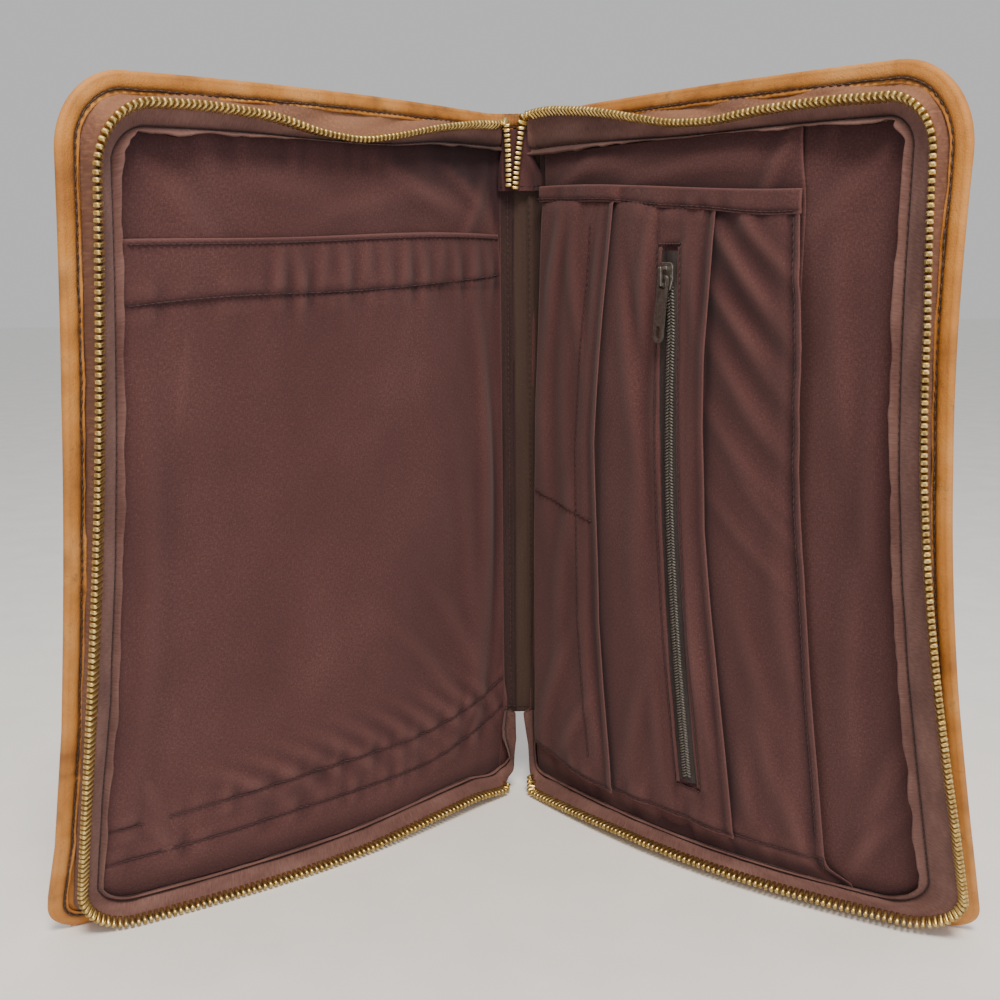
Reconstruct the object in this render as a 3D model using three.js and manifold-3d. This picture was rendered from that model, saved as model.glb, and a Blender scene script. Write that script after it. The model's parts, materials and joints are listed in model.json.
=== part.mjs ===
// Leather document case, zipped on three sides, standing open on its lower edges.
// Millimetres, +Z up, the open side towards -Y. Each cover is described by three
// lengths: along (from the middle of the spine outwards), up (from the lower edge)
// and off (from the outside of the leather towards the inside of the case).

import * as THREE from "three";
import { mergeVertices } from "three/addons/utils/BufferGeometryUtils.js";
import Module from "manifold-3d";

const wasm = await Module();
wasm.setup();

// Covers and spine
const COVER_HEIGHT = 335;
const COVER_WIDTH = 228;
const SPINE_WIDTH = 22;
const SPINE_BEND = 12;
const CORNER_RADIUS = 14;
const SPINE_LEAN = THREE.MathUtils.degToRad(3.3);
const REACH = SPINE_WIDTH / 2 + COVER_WIDTH;

// How far the free edge and the foot of each cover bow inwards
const LEFT_SIDE_BOW = 13;
const LEFT_FOOT_BOW = 12;
const RIGHT_SIDE_BOW = 27;
const RIGHT_FOOT_BOW = 18;

// How each cover stands: foot and top are half angles of the opening there, in
// degrees
const LEFT = { sign: -1, foot: 52.6, top: 34.9, sideBow: LEFT_SIDE_BOW, footBow: LEFT_FOOT_BOW };
const RIGHT = { sign: 1, foot: 50.0, top: 34.1, sideBow: RIGHT_SIDE_BOW, footBow: RIGHT_FOOT_BOW };

// Leather, turned in along its edges
const LEATHER = 2.0;
const RIM_WIDTH = 8;
const RIM_RISE = 1.6;
const RIM_SETBACK = 0.5;
const RIM_LIP = 0.2;
const RIM_TURN = 0.5;

// Slot at the foot of the spine
const NOTCH_HEIGHT = 43;
const NOTCH_TOP_WIDTH = 8;
const NOTCH_FOOT_WIDTH = 15;
const NOTCH_FLARE = 0.12;

// Cloth layers, each named by its place from the leather inwards
const CLOTH = 1.0;
const GAP = 0.4;
const LINING_STAND = 0.8;
const SWELL = 3;
const LAYERS = { lining: 0, divider: 1, organiser: 2, zipPocket: 3, penPocket: 4 };

// Gusset that carries the zip round three sides
const GUSSET_INSET = 22.5;
const GUSSET_RISE = 14;
const FOLD_LAP = 0.6;
const NOTCH_SIDE = 6.9;
const ZIP_DROOP = 10;

// Brass zip
const CHAIN_WIDTH = 4.2;
const CHAIN_THICKNESS = 2.6;
const JOINED_HALF_WIDTH = 3.6;
const JOINED_LENGTH = 28;
const JOINED_TOP = 6;
const JOINED_SPREAD = 1.6;
const END_TAPE_STAND = 7.6;
const END_TAPE_HALF = 13;
const END_TAPE_LENGTH = 27;

// Document pocket on the left cover
const POCKET_SIDE = 8;
const POCKET_DROP = 55;
const POCKET_TOP = COVER_HEIGHT - POCKET_DROP;
const POCKET_HEM = 22;
const POCKET_CORNER_CUT = 0.8;
const HEM_RISE = 0.5;

// Organiser on the right cover
const ORGANISER_SIDE = 13;
const ORGANISER_REACH = 176;
const ORGANISER_DROP = 35;
const ORGANISER_TOP = COVER_HEIGHT - ORGANISER_DROP;
const ORGANISER_HEM = 13.5;
const ORGANISER_FOOT = 21;
const ZIP_POCKET_REACH = 131;
const PEN_POCKET_REACH = 68;

// Coil zip of the organiser
const SLIT_PLACE = 108.5;
const SLIT_DRIFT = 8.5;
const SLIT_DROP = 28;
const SLIT_RISE = 20;
const SLIT_TOP = ORGANISER_TOP - SLIT_DROP;
const SLIT_FOOT = ORGANISER_FOOT + SLIT_RISE;
const TAPE_WIDTH = 11;
const TAPE_THICKNESS = 0.6;
const COIL_WIDTH = 4.4;
const COIL_THICKNESS = 1.8;
const COIL_OFFSET = 1.2;
const SLIDER_WIDTH = 8.4;
const SLIDER_LENGTH = 11;
const SLIDER_PLATE = 1.2;
const SLIDER_DROP = 10;
const BRIDGE_WIDTH = 1.8;
const BRIDGE_SPAN = 7.6;
const BRIDGE_BAR = 1.2;
const PULL_LENGTH = 27;
const PULL_WIDTH = 5.8;
const PULL_THICKNESS = 1.0;
const PULL_EYE_WIDTH = 3.9;
const PULL_EYE_LENGTH = 4.3;
const PULL_BAR = 1.2;
const PULL_SWING = THREE.MathUtils.degToRad(8);
const HINGE_PLAY = 0.3;

// Outlines of the slider and its pull, as shares of their half widths and lengths
const SLIDER_SHAPE = { nose: 0.6, shoulder: 0.2, corner: 0.6, crown: 0.4 };
const PULL_SHAPE = { shoulder: 0.6, grip: 0.42 };

// Facets and grid lines
const RUNS = { inner: 3, bend: 4, foot: 9, outer: 12, top: 12, arc: 3 };
const GRID = {
  bend: 5,
  field: 8,
  panelBend: 2,
  panelColumns: 8,
  panelRows: 13,
  hemRows: 2,
  hemColumns: 10,
  tapeRows: 3,
  tapeColumns: 6,
  spineColumns: 4,
  joinedRows: 6,
  ribbonRows: 12,
  coilRows: 14,
  curve: 5,
};
const WELD = 1e-4;

// Inset of each line that runs round a cover, as shares of the gusset inset;
// radius is the share of the corner radius that the line turns with
const LINES = {
  outline: { inner: 0, foot: 0, outer: 0, top: 0, radius: 1 },
  zipLeft: { inner: 0, foot: 0.12, outer: 0.36, top: 0.4, radius: 0.8 },
  zipRight: { inner: 0, foot: 0.12, outer: 0.3, top: 0.4, radius: 0.8 },
  fold: { inner: 0.29, foot: 0.46, outer: 1, top: 0.9, radius: 0.5 },
  underFold: { inner: 0.2, foot: 0.62, outer: 0.9, top: 0.8, radius: 0.6 },
};

// Height of the zip off the leather, as shares of the gusset rise
const ZIP_HEIGHTS = {
  left: { inner: 0.75, foot: 1.0, outer: 0.74, top: 0.6 },
  right: { inner: 0.75, foot: 1.0, outer: 0.62, top: 0.6 },
};

// How the zip hangs along the top: place is the share of the way from the spine,
// left and right are shares of the droop
const DROOP = [
  { place: 0.0, left: -0.3, right: -0.6 },
  { place: 0.12, left: -0.15, right: -0.7 },
  { place: 0.25, left: 0.25, right: -0.35 },
  { place: 0.35, left: 0.7, right: 0.1 },
  { place: 0.45, left: 1.0, right: 0.55 },
  { place: 0.55, left: 0.85, right: 0.65 },
  { place: 0.65, left: 0.35, right: 0.4 },
  { place: 0.78, left: 0.0, right: 0.1 },
  { place: 1.0, left: 0.0, right: 0.0 },
];

// Free edge of two organiser pockets: height is a share of the organiser's, reach
// a share of the pocket's own reach
const ZIP_POCKET_EDGE = [
  { height: 0.0, reach: 1.045 },
  { height: 0.3, reach: 1.0 },
  { height: 0.5, reach: 0.965 },
  { height: 0.65, reach: 0.965 },
  { height: 1.0, reach: 1.0 },
];
const PEN_POCKET_EDGE = [
  { height: 0.0, reach: 1.04 },
  { height: 0.3, reach: 0.93 },
  { height: 0.6, reach: 0.92 },
  { height: 1.0, reach: 1.07 },
];

// Linear reading of a short table
function readTable(rows, key, value, at) {
  let low = rows[0];
  for (const row of rows) {
    if (row[key] >= at) {
      const span = row[key] - low[key];
      const share = span > 0 ? (at - low[key]) / span : 0;
      return THREE.MathUtils.lerp(low[value], row[value], share);
    }
    low = row;
  }
  return low[value];
}

// Even steps from one value to another
function steps(from, to, count) {
  return Array.from({ length: count + 1 }, (_, k) => THREE.MathUtils.lerp(from, to, k / count));
}

// A point of a cover: straight over the spine, round its bend, then straight out,
// with the opening angle changing evenly from foot to top
function coverPoint(side, along, up, off) {
  const share = up / COVER_HEIGHT;
  const footAngle = THREE.MathUtils.degToRad(side.foot);
  const topAngle = THREE.MathUtils.degToRad(side.top);
  const turn = Math.PI / 2 - THREE.MathUtils.lerp(footAngle, topAngle, share);
  const start = (SPINE_WIDTH - SPINE_BEND) / 2;
  const bent = THREE.MathUtils.clamp(along - start, 0, SPINE_BEND);
  const straight = Math.max(along - start - SPINE_BEND, 0);
  const heading = (turn * bent) / SPINE_BEND;
  const radius = SPINE_BEND / turn;
  const outShare = THREE.MathUtils.clamp((along - SPINE_WIDTH / 2) / COVER_WIDTH, 0, 1);
  const clampedUp = THREE.MathUtils.clamp(share, 0, 1);
  const bow = side.sideBow * Math.sin(Math.PI * clampedUp) * (along / REACH) ** 2
    + side.footBow * Math.sin(Math.PI * outShare) * (1 - clampedUp) ** 2;
  const x = Math.min(along, start) + radius * Math.sin(heading) + straight * Math.cos(turn);
  const y = -radius * (1 - Math.cos(heading)) - straight * Math.sin(turn);
  const twist = (topAngle - footAngle) / COVER_HEIGHT;
  const rise = Math.cos(SPINE_LEAN) * Math.sqrt(1 - (along * twist) ** 2);
  return new THREE.Vector3(
    side.sign * (x - (off + bow) * Math.sin(heading)),
    y - (off + bow) * Math.cos(heading) - up * Math.sin(SPINE_LEAN),
    up * rise,
  );
}

// A closed body of two faces, back and front, on a grid of columns and rows
function layered(columns, rows, at) {
  const index = (column, row, face) => (face * rows + row) * columns + column;
  const positions = [];
  for (let face = 0; face < 2; face += 1) {
    for (let row = 0; row < rows; row += 1) {
      for (let column = 0; column < columns; column += 1) {
        positions.push(...at(column, row, face).toArray());
      }
    }
  }
  const faces = [];
  const quad = (a, b, c, d) => faces.push(a, b, c, a, c, d);
  for (let row = 0; row + 1 < rows; row += 1) {
    for (let column = 0; column + 1 < columns; column += 1) {
      const next = column + 1;
      quad(index(column, row, 1), index(next, row, 1), index(next, row + 1, 1), index(column, row + 1, 1));
      quad(index(column, row, 0), index(column, row + 1, 0), index(next, row + 1, 0), index(next, row, 0));
    }
    const last = columns - 1;
    quad(index(0, row, 0), index(0, row, 1), index(0, row + 1, 1), index(0, row + 1, 0));
    quad(index(last, row, 0), index(last, row + 1, 0), index(last, row + 1, 1), index(last, row, 1));
  }
  for (let column = 0; column + 1 < columns; column += 1) {
    const next = column + 1;
    const end = rows - 1;
    quad(index(column, 0, 0), index(next, 0, 0), index(next, 0, 1), index(column, 0, 1));
    quad(index(column, end, 0), index(column, end, 1), index(next, end, 1), index(next, end, 0));
  }
  return facedOut(positions, faces);
}

// The same body with its faces turned outwards
function facedOut(positions, faces) {
  const corner = (k) => new THREE.Vector3().fromArray(positions, 3 * faces[k]);
  let volume = 0;
  for (let k = 0; k < faces.length; k += 3) {
    volume += corner(k).dot(corner(k + 1).cross(corner(k + 2)));
  }
  if (volume < 0) {
    faces.reverse();
  }
  const geometry = new THREE.BufferGeometry();
  geometry.setAttribute("position", new THREE.Float32BufferAttribute(positions, 3));
  geometry.setIndex(faces);
  geometry.computeVertexNormals();
  return geometry;
}

// Solids for joining and cutting
function toSolid(geometry) {
  const bare = geometry.clone();
  bare.deleteAttribute("normal");
  bare.deleteAttribute("uv");
  const welded = mergeVertices(bare, WELD);
  return new wasm.Manifold(new wasm.Mesh({
    numProp: 3,
    vertProperties: new Float32Array(welded.attributes.position.array),
    triVerts: new Uint32Array(welded.index.array),
  }));
}

function fromSolid(solid) {
  const mesh = solid.getMesh();
  const geometry = new THREE.BufferGeometry();
  geometry.setAttribute("position", new THREE.BufferAttribute(new Float32Array(mesh.vertProperties), 3));
  geometry.setIndex(new THREE.BufferAttribute(new Uint32Array(mesh.triVerts), 1));
  geometry.computeVertexNormals();
  return geometry;
}

// Stations of a line round a cover: up the notch, along the foot, up the free
// edge and back along the top. Every line has the same stations, so two of them
// bound a strip.
const BEND_END = (SPINE_WIDTH + SPINE_BEND) / 2;

function stations(line, from = "inner") {
  const inset = (name) => line[name] * GUSSET_INSET;
  const radius = line.radius * CORNER_RADIUS;
  const inner = NOTCH_SIDE + inset("inner");
  const outer = REACH - inset("outer");
  const foot = inset("foot");
  const top = COVER_HEIGHT - inset("top");
  const list = [];
  const run = (name, a, b, count) => {
    for (const share of steps(0, 1, count).slice(1)) {
      const along = THREE.MathUtils.lerp(a[0], b[0], share);
      const up = THREE.MathUtils.lerp(a[1], b[1], share);
      list.push({ part: name, share, along, up });
    }
  };
  const arc = (name, centre, fromAngle) => {
    for (const share of steps(0, 1, RUNS.arc).slice(1)) {
      const angle = fromAngle + (share * Math.PI) / 2;
      const along = centre[0] + radius * Math.cos(angle);
      const up = centre[1] + radius * Math.sin(angle);
      list.push({ part: name, share, along, up });
    }
  };
  if (from === "inner") {
    list.push({ part: "inner", share: 0, along: inner, up: NOTCH_HEIGHT });
    run("inner", [inner, NOTCH_HEIGHT], [inner, foot + radius], RUNS.inner);
    arc("innerArc", [inner + radius, foot + radius], Math.PI);
    run("foot", [inner + radius, foot], [outer - radius, foot], RUNS.foot);
  } else {
    const start = NOTCH_FOOT_WIDTH / 2 + GAP;
    list.push({ part: "foot", share: 0, along: start, up: foot });
    run("foot", [start, foot], [BEND_END, foot], RUNS.bend);
    run("foot", [BEND_END, foot], [outer - radius, foot], RUNS.foot);
  }
  arc("footArc", [outer - radius, foot + radius], -Math.PI / 2);
  run("outer", [outer, foot + radius], [outer, top - radius], RUNS.outer);
  arc("topArc", [outer - radius, top - radius], 0);
  run("top", [outer - radius, top], [BEND_END, top], RUNS.top);
  const end = { shell: 0, facing: POCKET_SIDE, inner: NOTCH_SIDE }[from];
  run("top", [BEND_END, top], [end, top], RUNS.bend);
  return list;
}

// A value kept on each run and blended round the corners between them
function aroundValue(station, values) {
  const blend = { innerArc: ["inner", "foot"], footArc: ["foot", "outer"], topArc: ["outer", "top"] };
  const pair = blend[station.part];
  if (!pair) {
    return values[station.part];
  }
  return THREE.MathUtils.lerp(values[pair[0]], values[pair[1]], station.share);
}

// The zip's own line, with its droop along the top
function zipLine(side) {
  const name = side.sign < 0 ? "left" : "right";
  const line = stations(side.sign < 0 ? LINES.zipLeft : LINES.zipRight);
  return line.map((station) => {
    const place = THREE.MathUtils.clamp(station.along / REACH, 0, 1);
    const hang = station.part === "top" ? readTable(DROOP, "place", name, place) * ZIP_DROOP : 0;
    return {
      ...station,
      up: station.up - hang,
      off: aroundValue(station, ZIP_HEIGHTS[name]) * GUSSET_RISE,
    };
  });
}

// How far off the leather the back of a cloth layer lies
function layerOff(layer) {
  return LEATHER + LINING_STAND + layer * (CLOTH + GAP);
}

// Pockets stand off the lining a little in their middle
function swell(along, up) {
  const across = THREE.MathUtils.clamp(along / ORGANISER_REACH, 0, 1);
  const height = THREE.MathUtils.clamp(up / COVER_HEIGHT, 0, 1);
  return SWELL * (Math.sin(Math.PI * across) * Math.sin(Math.PI * height)) ** 2;
}

// A flat panel of cloth on a cover, between two edges that may change with height
function panel(side, spec) {
  const { inner, outer, rows, columns, back, front, swelling } = spec;
  const last = GRID.panelBend + columns;
  return layered(last + 1, rows.length, (place, row, face) => {
    const column = side.sign > 0 ? place : last - place;
    const up = rows[row];
    const first = inner(up);
    const bend = Math.max(BEND_END, first);
    const along = column < GRID.panelBend
      ? THREE.MathUtils.lerp(first, bend, column / GRID.panelBend)
      : THREE.MathUtils.lerp(bend, outer(up), (column - GRID.panelBend) / columns);
    const off = (face === 0 ? back : front(up)) + (swelling ? swell(along, up) : 0);
    return coverPoint(side, along, up, off);
  });
}

// Rows that follow the rounded corners of a panel
function cornerRows(foot, top, radius, count) {
  const arc = steps(0, Math.PI / 2, RUNS.arc).map((angle) => radius * (1 - Math.cos(angle)));
  return [
    ...arc.map((rise) => foot + rise),
    ...steps(foot + radius, top - radius, count).slice(1, -1),
    ...arc.map((rise) => top - rise).reverse(),
  ];
}

function cornerReach(up, foot, top, reach, radius) {
  const near = Math.min(up - foot, top - up);
  if (near >= radius) {
    return reach;
  }
  return reach - radius + Math.sqrt(Math.max(radius ** 2 - (radius - near) ** 2, 0));
}

// Leather of both covers and the spine in one sheet
function leatherSheet() {
  const foot = RIM_SETBACK;
  const top = COVER_HEIGHT - RIM_SETBACK;
  const outer = REACH - RIM_SETBACK;
  const radius = CORNER_RADIUS - RIM_SETBACK;
  const straight = BEND_END;
  const field = REACH - GUSSET_INSET;
  const spine = steps(0, straight, GRID.bend);
  const cover = steps(straight, field, GRID.field).slice(1);
  const half = [...spine, ...cover, REACH - RIM_WIDTH, outer];
  const alongs = [...half.slice(1).reverse().map((value) => -value), ...half];
  const rows = cornerRows(foot, top, radius, RUNS.outer);
  return layered(alongs.length, rows.length, (column, row, face) => {
    const up = rows[row];
    const along = Math.abs(alongs[column]);
    const limit = cornerReach(up, foot, top, outer, radius);
    const share = THREE.MathUtils.clamp((along - straight) / (outer - straight), 0, 1);
    const placed = share > 0 ? THREE.MathUtils.lerp(straight, limit, share) : along;
    return coverPoint(alongs[column] < 0 ? LEFT : RIGHT, placed, up, face === 0 ? RIM_LIP : LEATHER);
  });
}

// Line round a cover at an even width from its edge
function evenLine(width) {
  const share = width / GUSSET_INSET;
  return { inner: 0, foot: share, outer: share, top: share, radius: RIM_TURN };
}

// Edge of the leather turned in round both covers and over the top of the spine
function leatherRim() {
  const outerLine = stations(LINES.outline, "shell");
  const innerLine = stations(evenLine(RIM_WIDTH), "shell");
  const left = outerLine.map((edge, k) => [LEFT, edge, innerLine[k]]);
  const right = outerLine.map((edge, k) => [RIGHT, edge, innerLine[k]]);
  const whole = [...left, ...right.reverse().slice(1)];
  return layered(2, whole.length, (column, row, face) => {
    const [side, edge, inner] = whole[row];
    const place = column === 0 ? edge : inner;
    return coverPoint(side, place.along, place.up, face === 0 ? 0 : LEATHER + RIM_RISE);
  });
}

// A flat plate of an outline
function plateOf(shape, depth) {
  return new THREE.ExtrudeGeometry(shape, { depth, bevelEnabled: false, curveSegments: GRID.curve });
}

// Slot cut through the foot of the spine
function notchCutter() {
  const shape = new THREE.Shape();
  shape.moveTo(-NOTCH_FOOT_WIDTH / 2, -LEATHER);
  shape.lineTo(NOTCH_FOOT_WIDTH / 2, -LEATHER);
  shape.lineTo(NOTCH_TOP_WIDTH / 2, NOTCH_HEIGHT - NOTCH_TOP_WIDTH / 2);
  shape.absarc(0, NOTCH_HEIGHT - NOTCH_TOP_WIDTH / 2, NOTCH_TOP_WIDTH / 2, 0, Math.PI, false);
  shape.closePath();
  const depth = SPINE_WIDTH * 2;
  const geometry = plateOf(shape, depth);
  geometry.translate(0, 0, -depth / 2);
  geometry.rotateX(Math.PI / 2);
  return geometry;
}

function leatherShell() {
  const leather = toSolid(leatherSheet()).add(toSolid(leatherRim()));
  return fromSolid(leather.subtract(toSolid(notchCutter())));
}

// Strip of cloth between two lines round a cover, lying on the leather
function edgeFacing(side) {
  const outerLine = stations(evenLine(RIM_WIDTH + GAP), "facing");
  const innerLine = stations(LINES.underFold, "facing");
  return layered(2, outerLine.length, (column, row, face) => {
    const place = (column === 0) === (side.sign < 0) ? outerLine[row] : innerLine[row];
    return coverPoint(side, place.along, place.up, layerOff(LAYERS.lining) + face * CLOTH);
  });
}

// Gusset: a free fold over the lining, a seam down on the facing, then out to the
// teeth of the zip
const SEAM_OFF = layerOff(LAYERS.divider);
const FOLD_OFF = layerOff(LAYERS.organiser) + HEM_RISE + GAP;
const FOLD_OFFS = { inner: FOLD_OFF, foot: SEAM_OFF, outer: FOLD_OFF, top: FOLD_OFF };
const SEAM_SHARE = 0.22;

function gusset(side) {
  const zip = zipLine(side);
  const fold = stations(LINES.fold);
  return layered(3, zip.length, (place, row, face) => {
    const column = side.sign > 0 ? place : 2 - place;
    const edge = zip[row];
    const from = fold[row];
    const reach = Math.hypot(edge.along - from.along, edge.up - from.up, edge.off - SEAM_OFF);
    const stop = 1 - (CHAIN_WIDTH / 2 + GAP) / reach;
    const share = [0, SEAM_SHARE, stop][column];
    const rise = (stop - SEAM_SHARE) / (1 - SEAM_SHARE);
    const lift = [
      aroundValue(from, FOLD_OFFS),
      SEAM_OFF,
      THREE.MathUtils.lerp(SEAM_OFF, edge.off, rise),
    ][column];
    return coverPoint(
      side,
      THREE.MathUtils.lerp(from.along, edge.along, share),
      THREE.MathUtils.lerp(from.up, edge.up, share),
      lift + face * CLOTH,
    );
  });
}

// Row of brass teeth on the free edge of the gusset, from the end of the notch's
// corner onwards
function zipChain(side) {
  const first = RUNS.inner + RUNS.arc - 1;
  const zip = zipLine(side).slice(first);
  const fold = stations(LINES.fold).slice(first);
  return layered(2, zip.length, (column, row, face) => {
    const edge = zip[row];
    const from = fold[row];
    const reach = Math.hypot(edge.along - from.along, edge.up - from.up, edge.off - SEAM_OFF);
    const share = 1 + (column - 0.5) * (CHAIN_WIDTH / reach);
    return coverPoint(
      side,
      THREE.MathUtils.lerp(from.along, edge.along, share),
      Math.max(THREE.MathUtils.lerp(from.up, edge.up, share), GAP),
      edge.off + CLOTH / 2 + (face - 0.5) * CHAIN_THICKNESS,
    );
  });
}

// Last teeth of both rows, joined in front of the head of the spine
function zipJoinedEnd() {
  const rows = steps(0, 1, GRID.joinedRows);
  const top = COVER_HEIGHT - JOINED_TOP;
  const back = END_TAPE_STAND + CLOTH + GAP;
  return layered(2, rows.length, (column, row, face) => {
    const width = JOINED_HALF_WIDTH + JOINED_SPREAD * (1 - rows[row]) ** 2;
    const place = coverPoint(RIGHT, 0, top - JOINED_LENGTH * rows[row], back + face * CHAIN_THICKNESS);
    place.x += (column === 0 ? -1 : 1) * width;
    return place;
  });
}

// Cloth that carries the joined end, wide below the gussets and narrow between them
function zipEndTape() {
  const top = COVER_HEIGHT - RIM_WIDTH - GAP;
  const foot = top - END_TAPE_LENGTH;
  const shoulder = COVER_HEIGHT - LINES.fold.top * GUSSET_INSET - CLOTH - GAP;
  const rows = [...steps(foot, shoulder, GRID.tapeRows), ...steps(shoulder + GAP, top, GRID.hemRows)];
  const shares = steps(-1, 1, GRID.tapeColumns);
  return layered(shares.length, rows.length, (column, row, face) => {
    const half = rows[row] > shoulder ? NOTCH_SIDE - GAP : END_TAPE_HALF;
    const along = half * Math.abs(shares[column]);
    const edge = layerOff(LAYERS.organiser) + GAP;
    const stand = THREE.MathUtils.lerp(END_TAPE_STAND, edge, along / END_TAPE_HALF);
    return coverPoint(shares[column] < 0 ? LEFT : RIGHT, along, rows[row], stand + face * CLOTH);
  });
}

// Lining of the spine, between the linings of the covers
function spineLining() {
  const rows = steps(NOTCH_HEIGHT + GAP, COVER_HEIGHT - RIM_WIDTH - GAP, GRID.panelRows);
  const half = POCKET_SIDE - GAP;
  const alongs = steps(-half, half, GRID.spineColumns);
  const back = layerOff(LAYERS.lining);
  return layered(alongs.length, rows.length, (column, row, face) => {
    const along = alongs[column];
    return coverPoint(along < 0 ? LEFT : RIGHT, Math.abs(along), rows[row], back + face * CLOTH);
  });
}

// How far a panel's inner edge spreads beside the notch
function flare(up) {
  return Math.max(NOTCH_HEIGHT - up, 0) * NOTCH_FLARE;
}

// Lining of one cover, inside the facing
function lining(side) {
  const outer = REACH - LINES.underFold.outer * GUSSET_INSET - GAP;
  const foot = LINES.underFold.foot * GUSSET_INSET + GAP;
  const top = COVER_HEIGHT - LINES.underFold.top * GUSSET_INSET - GAP;
  const radius = LINES.underFold.radius * CORNER_RADIUS;
  return panel(side, {
    inner: (up) => POCKET_SIDE + flare(up),
    outer: (up) => cornerReach(up, foot, top, outer, radius),
    rows: cornerRows(foot, top, radius, GRID.panelRows),
    columns: GRID.panelColumns,
    back: layerOff(LAYERS.lining),
    front: () => layerOff(LAYERS.lining) + CLOTH,
    swelling: false,
  });
}

// How far a panel steps back from the gusset beside the notch
function clearOfNotch(up) {
  const fold = LINES.fold.inner * GUSSET_INSET;
  return fold * THREE.MathUtils.clamp((NOTCH_HEIGHT + GUSSET_INSET - up) / fold, 0, 1);
}

// Pocket for papers, turned over in a wide hem along its mouth
function documentPocket() {
  const foot = LINES.underFold.foot * GUSSET_INSET + 2 * GAP;
  const outer = REACH - GUSSET_INSET + FOLD_LAP;
  const hemFoot = POCKET_TOP - POCKET_HEM;
  return panel(LEFT, {
    inner: (up) => POCKET_SIDE + GAP + clearOfNotch(up),
    outer: (up) => outer - Math.max(CORNER_RADIUS - (up - foot), 0) * POCKET_CORNER_CUT,
    rows: [...steps(foot, hemFoot, GRID.panelRows), ...steps(hemFoot + GAP, POCKET_TOP, GRID.hemRows)],
    columns: GRID.panelColumns,
    back: layerOff(LAYERS.divider),
    front: (up) => layerOff(LAYERS.divider) + CLOTH + (up > hemFoot ? HEM_RISE : 0),
    swelling: true,
  });
}

// Divider behind the organiser, closed off by the gusset at top and foot
function dividerPanel() {
  const foot = LINES.underFold.foot * GUSSET_INSET + 2 * GAP;
  const top = COVER_HEIGHT - LINES.fold.top * GUSSET_INSET + FOLD_LAP;
  return panel(RIGHT, {
    inner: (up) => ORGANISER_SIDE + flare(up),
    outer: () => ORGANISER_REACH - GAP,
    rows: steps(foot, top, GRID.panelRows),
    columns: GRID.panelColumns,
    back: layerOff(LAYERS.divider),
    front: () => layerOff(LAYERS.divider) + CLOTH,
    swelling: true,
  });
}

// Sections of the organiser, each lapped over the next
function organiserSection(layer, reachAt, topGap, cut) {
  const top = ORGANISER_TOP - topGap;
  const body = panel(RIGHT, {
    inner: (up) => ORGANISER_SIDE + layer * GAP + flare(up),
    outer: reachAt,
    rows: steps(ORGANISER_FOOT, top, GRID.panelRows),
    columns: GRID.panelColumns,
    back: layerOff(layer),
    front: () => layerOff(layer) + CLOTH,
    swelling: true,
  });
  return cut ? fromSolid(toSolid(body).subtract(toSolid(cut))) : body;
}

function organiserShare(up) {
  return (up - ORGANISER_FOOT) / (ORGANISER_TOP - ORGANISER_FOOT);
}

function zipPocketReach(up) {
  return ZIP_POCKET_REACH * readTable(ZIP_POCKET_EDGE, "height", "reach", organiserShare(up));
}

function penPocketReach(up) {
  return PEN_POCKET_REACH * readTable(PEN_POCKET_EDGE, "height", "reach", organiserShare(up));
}

function organiserHem() {
  const foot = ORGANISER_TOP - ORGANISER_HEM + GAP;
  return panel(RIGHT, {
    inner: () => ORGANISER_SIDE + CLOTH,
    outer: () => ORGANISER_REACH - GAP,
    rows: steps(foot, ORGANISER_TOP, GRID.hemRows),
    columns: GRID.hemColumns,
    back: layerOff(LAYERS.zipPocket),
    front: () => layerOff(LAYERS.penPocket) + CLOTH / 2,
    swelling: true,
  });
}

// Middle of the coil zip, drifting towards the free edge below half height
function slitPlace(up) {
  const share = THREE.MathUtils.clamp((SLIT_TOP - up) / (SLIT_TOP - SLIT_FOOT), 0, 1);
  return SLIT_PLACE + SLIT_DRIFT * share ** 2;
}

// A ribbon along the coil zip
function slitRibbon(spec) {
  const { offset, width, foot, top, back, thickness, count } = spec;
  const rows = steps(foot, top, count);
  return layered(2, rows.length, (column, row, face) => {
    const up = rows[row];
    const along = slitPlace(up) + offset + (column - 0.5) * width;
    return coverPoint(RIGHT, along, up, back + face * thickness + swell(along, up));
  });
}

const COIL_BACK = layerOff(LAYERS.zipPocket) + TAPE_THICKNESS + GAP;
const SLIDER_UP = SLIT_TOP - SLIDER_DROP;

// Frame of the slider on the cover: x outwards, y up, z towards the inside
function sliderPlace() {
  const along = slitPlace(SLIDER_UP) + COIL_OFFSET;
  const off = COIL_BACK + COIL_THICKNESS + GAP + swell(along, SLIDER_UP);
  const place = coverPoint(RIGHT, along, SLIDER_UP, off);
  const out = coverPoint(RIGHT, along + 1, SLIDER_UP, off).sub(place).normalize();
  const up = coverPoint(RIGHT, along, SLIDER_UP + 1, off).sub(place);
  const inward = new THREE.Vector3().crossVectors(out, up).normalize();
  const upright = new THREE.Vector3().crossVectors(inward, out);
  return { place, turn: new THREE.Matrix4().makeBasis(out, upright, inward) };
}

const HINGE_HEIGHT = SLIDER_PLATE + HINGE_PLAY + Math.hypot(PULL_BAR, PULL_THICKNESS) / 2;
const BRIDGE_UNDERSIDE = HINGE_HEIGHT + HINGE_PLAY + Math.hypot(PULL_BAR, PULL_THICKNESS) / 2;

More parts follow.
